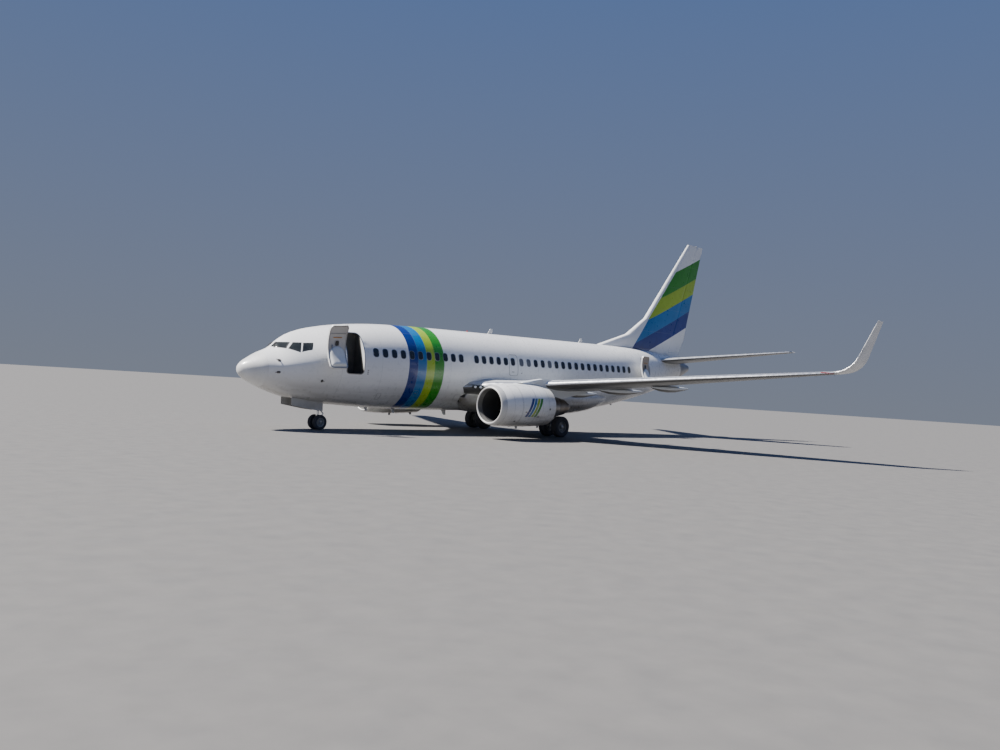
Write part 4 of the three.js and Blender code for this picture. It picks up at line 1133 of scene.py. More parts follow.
@dataclass
class EntryDoor:
    """A left entry door, open: its opening, pocket, frame and leaf."""

    name: str
    station: float
    width: float
    sill: float
    top: float
    hinge: tuple[float, float, float, float]
    lining: Finish
    corner: float = 0.15
    thick: float = 0.09

    def outline(self, grow: float) -> Shape:
        """The opening as a plate in station and height, about its middle."""
        return rounded_plate(self.width + 2 * grow, self.top - self.sill + 2 * grow, self.corner, 5)

    @property
    def middle(self) -> tuple[float, float]:
        """The opening's middle, by station and height."""
        return self.station + self.width / 2, (self.sill + self.top) / 2

    def opening(self, grow: float) -> Shape:
        """The space that the opening takes out of the hull."""
        shape = self.outline(grow)
        drawn_out(shape, shape.faces[:], (0, 0, 1.4))
        station, height = self.middle
        shape.transform(Matrix(((-1, 0, 0, -station), (0, 0, 1, 1.0), (0, 1, 0, height), (0, 0, 0, 1))))
        face_outward(shape)
        return shape

    def build(self) -> None:
        """Builds the pocket with its painted shade, the frame round it and the leaf."""
        self._pocket()
        station, height = self.middle
        tall = self.top - self.sill
        rim = frame_ring(self.width + 0.05, tall + 0.05, self.corner + 0.02, 0.035, 0.006, 0.12)
        HULL.lay(rim, station, height, 1)
        finish_piece(rim, f"entry_rim_{self.name}_left", DULL_METAL, smooth=40)
        self._leaf()

    def _pocket(self) -> None:
        """The entry's walls and back, near black with painted shade, and its carpeted floor."""
        shape = self.outline(-0.004)
        drawn_out(shape, open_edges(shape), (0, 0, 0.55))
        station, height = self.middle
        for vert in shape.verts:
            u, v, depth = vert.co
            out = 1.004 if depth < 0.1 else HULL.abeam(station + u, height + v, 1, -0.012).y
            vert.co = Vector((-station - u, out, height + v))
        for face in shape.faces:
            middle = face.calc_center_median()
            flat_floor = abs(face.normal.z) > 0.9 and middle.z < height
            face.material_index = 1 if flat_floor else 0
        finish_piece(shape, f"entry_shaded_pocket_{self.name}_left", [SHADED_HOLLOW, CARPET], smooth=40)

    def swing(self) -> Matrix:
        """Half a turn about the leaning hinge line, and the leaf's rise."""
        station, side, lean, rise = self.hinge
        middle = Vector((-station, side, self.middle[1]))
        axis = Matrix.Rotation(math.radians(lean), 3, "X") @ Vector((0, 0, 1))
        turned = Matrix.Rotation(math.pi, 4, axis) @ Matrix.Translation(-middle)
        return Matrix.Translation(middle + Vector((0, 0, rise))) @ turned

    def _leaf(self) -> None:
        """The open leaf with its lining, window, handle, slide pack and arms."""
        station, height = self.middle
        grow = -0.008
        wide, tall = self.width / 2 + grow, (self.top - self.sill) / 2 + grow
        swing = self.swing()
        body = f"entry_door_{self.name}_left"

        def shut(u: float, v: float, depth: float) -> Vector:
            """A place on the shut leaf: aft of and above its middle, and inside its skin."""
            return HULL.abeam(station + u, height + v, 1, -depth)

        def swung(shape: Shape) -> Shape:
            """Lays a flat shape on the shut leaf and swings it open."""
            for vert in shape.verts:
                vert.co = swing @ shut(vert.co.x, vert.co.y, vert.co.z)
            return shape

        slab = rounded_plate(2 * wide, 2 * tall, self.corner, 5)
        bmesh.ops.inset_region(slab, faces=slab.faces[:], thickness=0.05, depth=0, use_even_offset=True)
        cut_long_edges(slab, 0.2)
        bmesh.ops.triangulate(slab, faces=[f for f in slab.faces if len(f.verts) > 4])
        cut_long_edges(slab, 0.2)
        for face in drawn_out(slab, slab.faces[:], (0, 0, self.thick)):
            face.material_index = 1
        finish_piece(swung(slab), f"entry_leaf_{self.name}_left", [PLAIN_WHITE, self.lining], smooth=40,
                     replaces=[body])

        window = frame_ring(0.23, 0.27, 0.09, 0.03, 0.014, 0.1)
        window.transform(shift(0, 0.25, 0))
        trims = joined([frame_ring(2 * wide - 0.02, 2 * tall - 0.02, self.corner, 0.03, 0.012, 0.15), window,
                        block((0.05, 0.34, 0.03), shift(wide * 0.55, 0.02, 0.03), 0.012),
                        block((2 * wide - 0.16, 0.03, 0.02), shift(0, 0.62, 0.008), 0.006)])
        for vert in trims.verts:
            vert.co.z += self.thick - 0.002
        finish_piece(swung(trims), f"entry_leaf_trim_{self.name}_left", DULL_METAL, smooth=40)

        glass = rounded_plate(0.18, 0.22, 0.07)
        glass.transform(shift(0, 0.25, self.thick + 0.005))
        finish_piece(swung(glass), f"entry_leaf_window_{self.name}_left", CABIN_GLASS)

        low, tall_pack, half_pack, bulge = -tall + 0.07, tall + 0.06, wide - 0.055, 0.15

        def cover(u: float, v: float) -> Vector:
            """A place on the slide pack's arched cover: across and up it."""
            arch = math.sqrt(max(0.0, 1 - max(0.0, (v - 0.58) / 0.42)**2.2))
            across, rise = (2 * u - 1) * half_pack * max(0.12, arch), low + tall_pack * v
            edge = (1 - abs(2 * u - 1)**5) * (1 - abs(2 * v - 1)**7) * (0.6 + 0.4 * arch)
            return Vector((across, rise, self.thick - 0.004 + bulge * edge**0.5 * (1 - 0.35 * v)))

        pack = sheet_of(18, 26, cover)
        finish_piece(swung(pack), f"slide_pack_{self.name}_left", SLIDE_PACK, smooth=60)

        strap = block((0.40, 0.035, 0.008), shift(0, 0.48, self.thick + 0.01), 0.003)
        cut_long_edges(strap, 0.1)
        finish_piece(swung(strap), f"warning_strap_{self.name}_left", ORANGE)

        arms = bmesh.new()
        for up in (-0.33, 0.33):
            hold = swing @ shut(-wide * 0.2, up, self.thick * 0.5)
            jamb = HULL.abeam(self.station + 0.02, height + up, 1, -0.12)
            elbow = (hold + jamb) / 2 + Vector((0.02, 0.05, 0.0))
            join_into(arms, tube([hold, elbow, jamb], 0.028))
            join_into(arms, tube([hold + Vector((0, 0, -0.06)), hold + Vector((0, 0, 0.06))], 0.04))
        finish_piece(arms, f"entry_door_arms_{self.name}_left", GEAR_PAINT)


ENTRY_DOORS = (EntryDoor("forward", 4.27, 0.86, -0.53, 1.28, (4.09, 1.862, 11, 0.06), LEAF_LINING),
               EntryDoor("aft", 25.73, 0.78, -0.5, 1.23, (25.7, 1.74, 9, 0), AFT_LINING))


@dataclass
class CabinSide(Sided):
    """Cabin windows, shut doors, hatches and exits on one side."""

    pitch: float = 0.5065
    first: float = 5.745
    aft_pitch: float = 0.5375
    aft_first: float = 14.98
    level: float = 0.46
    width: float = 0.275
    height: float = 0.37
    shaded: tuple[int, ...] = (18, 19, 22)
    exit_window: int = 17
    left_out: tuple[int, ...] = (11,)
    count: int = 36

    def window_station(self, index: int) -> float:
        """A window's middle station."""
        behind = index - self.exit_window - 1
        return self.first + index * self.pitch if behind < 0 else self.aft_first + behind * self.aft_pitch

    def lay(self, shape: Shape, station: float, height: float, proud: float = 0.0) -> Shape:
        """Lays a flat shape on this side's skin."""
        return HULL.lay(shape, station, height, self.hand, proud)

    def build(self) -> None:
        """Builds the side's pieces."""
        rims, panes, blinds = bmesh.new(), bmesh.new(), bmesh.new()
        for index in range(self.count):
            if index in self.left_out:
                continue
            station = self.window_station(index)
            rim = frame_ring(self.width + 0.036, self.height + 0.036, 0.12, 0.02, 0.005, 0.07)
            join_into(rims, self.lay(rim, station, self.level))
            pane = self.lay(domed_plate(self.width, self.height), station, self.level, 0.003)
            join_into(blinds if index in self.shaded else panes, pane)
        finish_piece(rims, f"cabin_window_rims_{self.hand_name}", DULL_METAL, smooth=40)
        finish_piece(panes, f"cabin_window_panes_{self.hand_name}", CABIN_GLASS)
        finish_piece(blinds, f"cabin_window_blinds_{self.hand_name}", BLIND)
        self._outlines()

    def _outlines(self) -> None:
        """Seams round exits, doors, hatches and panels."""
        exit_station = self.window_station(self.exit_window)
        plates = [(exit_station + 0.04, 0.295, 0.64, 1.08, 0.13, 0.022), (8.3, -1.3, 0.28, 0.28, 0.04, 0.008),
                  (11.0, -1.45, 0.4, 0.3, 0.04, 0.008), (23.2, -1.0, 0.34, 0.26, 0.04, 0.008),
                  (6.3, -1.5, 0.22, 0.3, 0.04, 0.008)]
        if self.hand < 0:
            plates += [(4.72, 0.38, 0.80, 1.72, 0.15, 0.016), (26.1, 0.37, 0.74, 1.66, 0.15, 0.016),
                       (7.35, -1.05, 1.22, 0.9, 0.1, 0.016), (22.6, -0.95, 1.22, 0.82, 0.1, 0.016)]
        seams = joined([self.lay(frame_ring(width, tall, radius, border, 0.008, 0.1), station, height)
                        for station, height, width, tall, radius, border in plates])
        finish_piece(seams, f"hatch_seams_{self.hand_name}", SEAM, smooth=40)
        details = bmesh.new()
        for station, height, width, tall in ((exit_station, -0.05, 0.16, 0.05), (8.3, -1.3, 0.12, 0.03)):
            handle = block((width, tall, 0.012), shift(0, 0, 0.004), 0.004)
            join_into(details, self.lay(handle, station, height))
        for station, height in ((5.35, -0.35), (5.35, -0.43), (5.35, -0.51), (14.98, -0.09)):
            join_into(details, self.lay(rounded_plate(0.09, 0.05, 0.02), station, height, 0.003))
        if self.hand < 0:
            for station in (4.72, 26.1):
                join_into(details, self.lay(frame_ring(0.24, 0.34, 0.08, 0.03, 0.005), station, 0.62))
                handle = block((0.3, 0.07, 0.014), shift(0, 0, 0.004), 0.005)
                join_into(details, self.lay(handle, station, 0.2))
        finish_piece(details, f"side_fittings_{self.hand_name}", DULL_METAL, smooth=40)


@dataclass
class Fittings:
    """Probes, antennas, lamps, drains and wipers. The blades' rows: station, up or down, chord, height."""

    blades: tuple[tuple[float, int, float, float], ...] = (
        (14.35, 1, 0.34, 0.30), (21.6, 1, 0.30, 0.26), (8.2, -1, 0.22, 0.22), (11.4, -1, 0.30, 0.26),
        (6.6, -1, 0.2, 0.16))
    probes: tuple[tuple[float, float], ...] = ((1.39, -0.12), (1.33, -0.61), (3.21, -0.90))

    def build(self) -> None:
        """Builds all of them."""
        self._antennas()
        self._probes()
        self._lamps()
        self._wipers()

    def _antennas(self) -> None:
        """Swept blade antennas on the crown and belly."""
        shape = bmesh.new()
        for station, up, chord, tall in self.blades:
            base = HULL.crown(station) if up > 0 else HULL.keel(station)
            blade = bmesh.new()
            bmesh.ops.create_cube(blade, size=1)
            for vert in blade.verts:
                top = vert.co.z > 0
                length = chord * (0.55 if top else 1.0)
                vert.co = Vector((vert.co.x * length - (0.3 * chord if top else 0),
                                  vert.co.y * (0.014 if top else 0.03), (vert.co.z + 0.5) * tall - 0.012))
            bmesh.ops.bevel(blade, geom=list(blade.edges), offset=0.006, segments=2, profile=0.5,
                            affect="EDGES", material=-1, clamp_overlap=True)
            blade.transform(shift(-station, 0, base) @ Matrix.Diagonal((1, 1, up, 1)))
            join_into(shape, blade)
        finish_piece(shape, "blade_antennas", PLAIN_WHITE, smooth=40)
        masts = joined([block((0.16, 0.02, 0.2), shift(-station, 0.25, HULL.keel(station) + 0.02), 0.008)
                        for station in (13.1, 24.4)])
        finish_piece(masts, "drain_masts", DULL_METAL, smooth=40)

    def _probes(self) -> None:
        """Two air probes and a vane on each side of the nose, on their base plates."""
        shape, plates = bmesh.new(), bmesh.new()
        for hand in SIDES.values():
            for i, (station, height) in enumerate(self.probes):
                foot = HULL.abeam(station, height, hand, -0.01)
                if i < 2:
                    near = HULL.abeam(station, height, hand, 0.075)
                    arm = [foot, near, near + Vector((0.05, 0, 0)), near + Vector((0.17, 0, 0))]
                    join_into(shape, tube(arm, 0.014, 8))
                    join_into(shape, tube([foot, near], 0.022, 8))
                    base = rounded_plate(0.15, 0.10, 0.045)
                    join_into(plates, HULL.lay(base, station, height, hand, 0.005))
                else:
                    disc = rounded_plate(0.12, 0.12, 0.055)
                    join_into(plates, HULL.lay(disc, station, height, hand, 0.004))
                    join_into(shape, tube([foot, HULL.abeam(station, height, hand, 0.05),
                                           HULL.abeam(station + 0.1, height, hand, 0.055)], 0.01, 8))
        finish_piece(shape, "air_data_probes", HOT_METAL, smooth=50)
        finish_piece(plates, "vane_plates", PORT_SHADE)

    def _lamps(self) -> None:
        """Beacons on the crown and belly."""
        fairing_keel = -2.272
        dome = [(0, 0.0), (0, 0.065), (0.03, 0.06), (0.06, 0.045), (0.078, 0.03), (0.085, 0.0)]
        for name, station, up in (("upper", 12.75, 1), ("lower", 14.2, -1)):
            base = HULL.crown(station) if up > 0 else fairing_keel
            upward = Matrix.Rotation(-up * math.pi / 2, 4, "Y")
            lamp = lathe(dome, 24, shift(-station, 0, base - 0.01 * up) @ upward)
            finish_piece(lamp, f"beacon_{name}", RED_LAMP, smooth=60)

    def _wipers(self) -> None:
        """Wipers on the two front panes."""
        shape = bmesh.new()
        for hand in SIDES.values():
            pivot = HULL.ahead(0.33 * hand, 0.395, 0.02)
            tip = HULL.ahead(0.14 * hand, 0.63, 0.03)
            join_into(shape, tube([pivot, pivot.lerp(tip, 0.5) + Vector((0.01, 0, 0.015)), tip], 0.009, 8))
            foot = HULL.ahead(0.11 * hand, 0.48, 0.022)
            head = HULL.ahead(0.17 * hand, 0.665, 0.026)
            join_into(shape, tube([foot, head], 0.008, 8))
        finish_piece(shape, "wipers", BLACK_TRIM, smooth=50)


# Wings and tail

@dataclass
class Wing(Sided):
    """One wing with its winglet, movable surfaces, track fairings and small fittings."""

    tracks: tuple[str, ...] = ("inner", "middle", "outer")
    slat_breaks: tuple[float, ...] = (5.9, 8.45, 11.0, 13.55, 16.1)
    spoilers: tuple[tuple[float, float], ...] = ((6.3, 7.4), (7.5, 8.6), (8.7, 9.8), (9.9, 11.0), (3.0, 4.3))
    tank_panels: tuple[float, ...] = (4.4, 6.2, 7.6, 9.0, 10.4, 11.8, 13.2, 14.6)

    def build(self) -> None:
        """Builds the wing's pieces."""
        suffix = self.hand_name
        dress(f"wing_{suffix}", f"wing_skin_{suffix}", WingPaint(), 40, under=WING_UNDERSIDE_SHADE)
        for part in ("flap_inboard", "flap_outboard", "aileron"):
            dress(f"{part}_{suffix}", f"{part}_skin_{suffix}", GREY_PAINT, 40, under=WING_UNDERSIDE_SHADE)
        dress(f"winglet_{suffix}", f"winglet_skin_{suffix}",
              WingPaint("winglet_paint", WHITE, bright=0.05), 60)
        for track in self.tracks:
            dress(f"flap_track_{track}_{suffix}", f"flap_track_fairing_{track}_{suffix}", GREY_PAINT, 60,
                  under=WING_UNDERSIDE_SHADE)
        self.tree = BVHTree.FromBMesh(weld_copy(f"wing_{suffix}"))
        self._seams()
        self._lamps()
        self._wicks()

    def on_skin(self, station: float, side: float, above: bool, proud: float = 0.003) -> Vector | None:
        """A place on the wing's skin under or over a point in plan.

        Args:
            station: its station.
            side: its distance from the centre line.
            above: whether it is on the upper skin.
            proud: how far it stands off.

        Returns:
            The place in the row frame, or None where there is no skin.
        """
        start = AIRFRAME @ Vector((-station, side * self.hand, 4.0 if above else -3.0))
        hit = self.tree.ray_cast(start, Vector((0, 0, -1 if above else 1)))[0]
        return None if hit is None else hit + Vector((0, 0, proud if above else -proud))

    def _strip(self, shape: Shape, start: tuple[float, float], end: tuple[float, float], above: bool,
               width: float) -> None:
        """Lays a thin seam between two points in plan, each a station and a side."""
        steps = max(2, int(math.dist(start, end) / 0.25))
        across = Vector((end[0] - start[0], end[1] - start[1])).normalized()
        offset = Vector((-across.y, across.x)) * width / 2
        row: list[tuple[Vector, Vector]] = []
        for i in range(steps + 1):
            middle = Vector(start).lerp(Vector(end), i / steps)
            pair = [self.on_skin(*(middle + offset * sign), above) for sign in (-1, 1)]
            if None not in pair:
                row.append((pair[0], pair[1]))
        if len(row) < 2:
            return
        last = len(row) - 1
        join_into(shape, sheet_of(1, last, lambda u, v: row[round(v * last)][round(u)]))

    def _loop(self, shape: Shape, corners: list[tuple[float, float]], above: bool, width: float) -> None:
        """Lays a thin seam round corners in plan."""
        for start, end in zip(corners, corners[1:] + corners[:1]):
            self._strip(shape, start, end, above, width)

    def _seams(self) -> None:
        """Slat ends, spoiler outlines and tank panels."""
        shape = bmesh.new()
        lead = lambda side: LEAD_STATION + LEAD_SLOPE * (side - LEAD_SIDE)
        for side in self.slat_breaks:
            for above in (True, False):
                self._strip(shape, (lead(side) + 0.01, side), (lead(side) + 0.5, side), above, 0.02)
        self._strip(shape, (lead(5.2) + 0.62, 5.2), (lead(16.2) + 0.32, 16.2), True, 0.018)
        for inner, outer in self.spoilers:
            aft = lambda side: 16.55 + max(0.0, side - 5.36) * 0.325
            front = lambda side: aft(side) - 0.62
            corners = [(front(inner), inner), (front(outer), outer), (aft(outer), outer), (aft(inner), inner)]
            self._loop(shape, corners, True, 0.016)
        for side in self.tank_panels:
            station = lead(side) + 1.05
            turns = [2 * math.pi * k / 14 for k in range(14)]
            ring = [(station + 0.16 * math.cos(a), side + 0.24 * math.sin(a)) for a in turns]
            self._loop(shape, ring, False, 0.014)
        finish_piece(shape, f"wing_seams_{self.hand_name}", SEAM, place=UPRIGHT, weld=0)

    def _lamps(self) -> None:
        """The landing lamps in the wing root, and the navigation lamp along the front edge near the tip."""
        place = AIRFRAME @ shift(-11.60, 2.27 * self.hand, -0.88) @ Matrix.Rotation(
            self.hand * math.atan(ROOT_LEAD[2]), 4, "Z")
        bay = block((0.10, 0.58, 0.17), place @ shift(-0.028, 0, 0), 0.04, 4)
        finish_piece(bay, f"landing_lamp_bay_{self.hand_name}", PRESSURE_GLASS, place=UPRIGHT, smooth=50)
        bowl = [(-0.02, 0.062), (0.008, 0.062), (0.014, 0.055), (0.006, 0.05), (0.012, 0.03), (0.014, 0)]
        for i, name in enumerate(("outer", "inner")):
            lamp = lathe(bowl, 28, place @ shift(0.02, (0.13 - 0.26 * i) * self.hand, 0))
            finish_piece(lamp, f"landing_lamp_{name}_{self.hand_name}", CLEAR_LAMP, place=UPRIGHT, smooth=40)
        tint = RED_LAMP if self.hand > 0 else GREEN_LAMP
        along = Matrix.Rotation(self.hand * math.atan(LEAD_SLOPE), 4, "Z")
        lens = block((0.16, 0.56, 0.065), shift(-19.37, 16.2 * self.hand, 0.578) @ along, 0.028, 4)
        finish_piece(lens, f"navigation_lamp_{self.hand_name}", tint, smooth=70)

    def _wicks(self) -> None:
        """Static wicks behind the aileron's back edge."""
        shape = bmesh.new()
        for i in range(5):
            side = 12.9 + i * 0.75
            out = side - 5.2
            root = Vector((-17.82 - out * 0.2676, side * self.hand, -0.61 + out * 0.104))
            join_into(shape, tube([root + Vector((0.02, 0, 0)), root + Vector((-0.09, 0, -0.01))], 0.006, 6))
        finish_piece(shape, f"static_wicks_{self.hand_name}", BLACK_TRIM, f"aileron_{self.hand_name}")


@dataclass
class Tail:
    """Fin, rudder, stabilisers and elevators."""

    def build(self) -> None:
        """Builds the tail's pieces."""
        dress("fin", "fin_skin", FinPaint(), 40)
        dress("rudder", "rudder_skin", FinPaint(), 40)
        edge = WingPaint("stabiliser_paint", (0.62, 0.63, 0.64), ((0.56, 28.072, 0.6996),), 0.16, 0.5)
        # The stabilisers' and elevators' undersides get a near-black copy of the paint: painted shade.
        below = WingPaint("stabiliser_underside_painted_shade", (0.15, 0.15, 0.147), edge.lead, 0.06, 0.5)
        for suffix in SIDES:
            dress(f"stabiliser_{suffix}", f"stabiliser_skin_{suffix}", edge, 40, under=below)
            dress(f"elevator_{suffix}", f"elevator_skin_{suffix}", GREY_PAINT, 40, under=below)
        cap = block((1.2, 0.05, 0.04), shift(-32.7, 0, 8.965), 0.015)
        finish_piece(cap, "fin_tip_cap", DULL_METAL, smooth=50)


# Engines

@dataclass
class Engine(Sided):
    """One turbofan in its nacelle, from the lip's middle. The tables' rows: how far aft, and radius."""

    side: float = ENGINE_SIDE
    height: float = -1.65
    lip: float = 9.95
    round_radius: float = 0.88
    flattening: float = 0.45
    outside: tuple[tuple[float, float], ...] = ((0, 0.8), (0.05, 0.862), (0.27, 0.93), (0.7, 1.0),
                                                (1.6, 1.05), (2.6, 1.02), (3.52, 0.925))
    inside: tuple[tuple[float, float], ...] = ((0.06, 0.762), (0.27, 0.735), (1.13, 0.787), (1.63, 0.79),
                                               (1.95, 0.85), (2.78, 0.905), (3.52, 0.896))
    core: tuple[tuple[float, float], ...] = ((1.74, 0.43), (2.48, 0.56), (3.38, 0.61), (4.18, 0.52),
                                             (4.93, 0.385))
    plug: tuple[tuple[float, float], ...] = ((4.62, 0.30), (5.08, 0.30), (5.32, 0.19), (5.46, 0.1),
                                             (5.52, 0.05), (5.53, 0.0))
    cowls: tuple[tuple[str, float, float], ...] = (("fan_cowl", 0.2703, 2.08), ("duct_sleeve", 2.0803, 3.52))
    blades: int = 24
    fan_station: float = 1.37
    hub: float = 0.25
    tip: float = 0.77
    spinner_radius: float = 0.248
    spinner_length: float = 0.33

    @property
    def place(self) -> Matrix:
        """From the engine's frame to the row frame."""
        return AIRFRAME @ shift(-self.lip, self.side * self.hand, self.height)

    def flatten(self, spot: Vector) -> Vector:
        """Flattens the cowl's underside as the solid has it."""
        radius = math.hypot(spot.y, spot.z)
        if spot.z < 0 and radius > self.round_radius:
            low = self.round_radius * spot.z / radius
            spot.z = low + (spot.z - low) * self.flattening
        return spot

    def on_cowl(self, station: float, turn: float, proud: float = 0.0) -> Vector:
        """A place on the cowl: aft of the lip, and an angle from its top towards port."""
        radius = Curve(self.outside, 1)(station) + proud
        return self.flatten(Vector((-station, radius * math.sin(turn), radius * math.cos(turn))))

    def build(self) -> None:
        """Builds the engine's pieces."""
        suffix = self.hand_name
        for part, start, stop in self.cowls:
            self._cowl(part, start, stop)
        self._lip()
        self._core()
        dress(f"pylon_{suffix}", f"pylon_skin_{suffix}", GREY_PAINT, 40)
        self._fan()
        self._stators()
        self._cowl_details()

    def _cowl(self, part: str, start: float, stop: float) -> None:
        """A cowl piece, spun finely, in its paint outside and near black inside, painted shade in the duct.

        Args:
            part: the piece's name.
            start: how far aft of the lip it starts.
            stop: how far aft it stops.
        """
        outer, inner = Curve(self.outside, 1), Curve(self.inside, 1)
        count = math.ceil((stop - start) / 0.12)
        marks = [start + (stop - start) * i / count for i in range(count + 1)]
        profile = [(-mark, outer(mark)) for mark in marks]
        profile += [(-mark, inner(mark)) for mark in reversed(marks)]
        shape = lathe(profile + [profile[0]], 96)
        for face in shape.faces:
            spot = face.calc_center_median()
            inward = math.hypot(spot.y, spot.z) < (outer(-spot.x) + inner(-spot.x)) / 2
            face.material_index = 1 if inward else 0
        for vert in shape.verts:
            vert.co = self.flatten(vert.co.copy())
        finish_piece(shape, f"{part}_skin_{self.hand_name}", [CowlPaint(), DUCT_SHADE], place=self.place,
                     smooth=40, replaces=[f"{part}_{self.hand_name}"])

    def _core(self) -> None:
        """The core's cowl with its nozzle, and the plug in it."""
        curve = Curve(self.core, 1)
        first, last = self.core[0][0], self.core[-1][0]
        marks = [first + (last - first) * i / 24 for i in range(25)]
        outer = [(-mark, curve(mark)) for mark in marks]
        shape = lathe([(-first, 0.0), *outer, (-last, 0.372), (-last + 0.28, 0.40), (-last + 0.28, 0.0)], 72)
        for face in shape.faces:
            face.material_index = 1 if face.calc_center_median().x < -4.3 else 0
        plug = [(-mark, radius) for mark, radius in self.plug] + [(-self.plug[0][0], 0.0)]
        join_into(shape, lathe(plug, 64), 1)
        width, sunk, proud = 0.02, 0.004, 0.003
        for mark in (2.6, 3.5, 4.3):
            near, far = curve(mark), curve(mark + width)
            ring = lathe([(-mark, near - sunk), (-mark, near + proud), (-mark - width, far + proud),
                          (-mark - width, far - sunk)], 72)
            join_into(shape, ring, 2)
        finish_piece(shape, f"engine_core_skin_{self.hand_name}", [CORE_METAL, HOT_METAL, SEAM],
                     place=self.place, smooth=40, replaces=[f"engine_core_{self.hand_name}"])

    def _lip(self) -> None:
        """The polished inlet lip, spun finely, its inner face a darker copy of its metal: painted shade."""
        outer, inner = Curve(self.outside, 1), Curve(self.inside, 1)
        profile = [(-0.265 + 0.215 * i / 6, outer(0.265 - 0.215 * i / 6)) for i in range(7)]
        nose_out, nose_in = outer(0.05), inner(0.06)
        middle, half = (nose_out + nose_in) / 2, (nose_out - nose_in) / 2
        profile += [(-0.055 + 0.055 * math.sin(a), middle + half * math.cos(a))
                    for a in [math.pi * k / 10 for k in range(1, 10)]]
        profile += [(-0.06 - 0.205 * i / 6, inner(0.06 + 0.205 * i / 6)) for i in range(7)]
        shape = lathe(profile + [profile[0]], 96)
        for face in shape.faces:
            spot = face.calc_center_median()
            face.material_index = 1 if spot.x < -0.03 and math.hypot(spot.y, spot.z) < middle - 0.015 else 0
        for vert in shape.verts:
            vert.co = self.flatten(vert.co.copy())
        finish_piece(shape, f"inlet_lip_skin_{self.hand_name}", [LIP_METAL, LIP_INNER_SHADE], place=self.place,
                     smooth=50, replaces=[f"inlet_lip_{self.hand_name}"])
        ring = lathe([(-0.262, 0.742), (-0.262, 0.736), (-0.30, 0.737), (-0.30, 0.745)], 96)
        finish_piece(ring, f"inlet_joint_{self.hand_name}", SEAM, place=self.place)

    def _fan(self) -> None:
        """Twisted blades, the hub behind them and the spinner with its painted comma."""
        body = f"fan_{self.hand_name}"
        place = self.place @ shift(-self.fan_station, 0, 0)
        blades = bmesh.new()
        for k in range(self.blades):
            blade = sheet_of(5, 10, self._blade_spot)
            drawn_out(blade, blade.faces[:], (0.004, 0, 0))
            blade.transform(Matrix.Rotation(2 * math.pi * k / self.blades, 4, "X"))
            join_into(blades, blade)
        finish_piece(blades, f"fan_blades_{self.hand_name}", FAN_TITANIUM, body, place, 50, [body])
        hub = lathe([(-0.13, 0), (-0.13, 0.27), (0.13, 0.25), (0.131, 0.0)], 64)
        finish_piece(hub, f"fan_hub_{self.hand_name}", DULL_METAL, body, place, 30)
        shares = (0, 0.1, 0.2, 0.35, 0.5, 0.65, 0.78, 0.88, 0.95, 0.985, 1)
        nose = lathe([self._spinner_spot(t) for t in shares], 72)
        finish_piece(nose, f"spinner_{self.hand_name}", BLACK_TRIM, body, place, 60)

        def swirl(u: float, v: float) -> Vector:
            """A place on the spinner's painted comma."""
            along, radius = self._spinner_spot(0.30 + 0.52 * v)
            radius += 0.0025
            turn = 2.4 * v + (u - 0.5) * 0.42 * math.sin(math.pi * min(1.0, v * 1.1 + 0.05))
            return Vector((along + 0.001, radius * math.sin(turn), radius * math.cos(turn)))

        finish_piece(sheet_of(3, 22, swirl), f"spinner_mark_{self.hand_name}", PLAIN_WHITE, body, place, 60)

    def _spinner_spot(self, share: float) -> tuple[float, float]:
        """The spinner's profile: the place along the axis and the radius at a share of its length."""
        return 0.13 + self.spinner_length * share, self.spinner_radius * math.sqrt(max(0, 1 - share**1.7))

    def _blade_spot(self, u: float, v: float) -> Vector:
        """A place on a fan blade: its share from nose to tail, and from root to tip."""
        radius = self.hub - 0.01 + (self.tip - self.hub + 0.01) * v
        stagger = math.radians(32 + 29 * v**0.85)
        chord = 0.205 + 0.03 * v
        along = (u - 0.5) * chord
        camber = (0.25 - (u - 0.5)**2) * 0.055 * (1.4 - v)
        sweep = 0.022 * math.sin(math.pi * v) - 0.03 * v**3
        x = -along * math.cos(stagger) + camber * math.sin(stagger) + sweep
        y = along * math.sin(stagger) + camber * math.cos(stagger)
        turn = y / radius
        return Vector((x, radius * math.sin(turn), radius * math.cos(turn)))

    def _stators(self) -> None:
        """Guide vanes behind the fan and the splitter round the core."""
        shape = bmesh.new()
        vanes = 32
        for k in range(vanes):
            turn = Matrix.Rotation(2 * math.pi * k / vanes, 4, "X")
            place = turn @ shift(-self.fan_station - 0.28, 0, 0.6) @ Matrix.Rotation(0.3, 4, "Z")
            join_into(shape, block((0.12, 0.012, 0.34), place, 0.003, 1))
        finish_piece(shape, f"guide_vanes_{self.hand_name}", DULL_METAL, place=self.place)
        back = lathe([(-1.72, 0.80), (-1.72, 0.42), (-1.735, 0.42), (-1.735, 0.80)], 64)
        finish_piece(back, f"fan_duct_shade_{self.hand_name}", SHADED_HOLLOW, place=self.place)
        splitter = lathe([(-1.74, 0.40), (-1.55, 0.405), (-1.53, 0.42), (-1.56, 0.44), (-1.74, 0.455)], 64)
        finish_piece(splitter, f"core_splitter_{self.hand_name}", DULL_METAL, place=self.place, smooth=60)

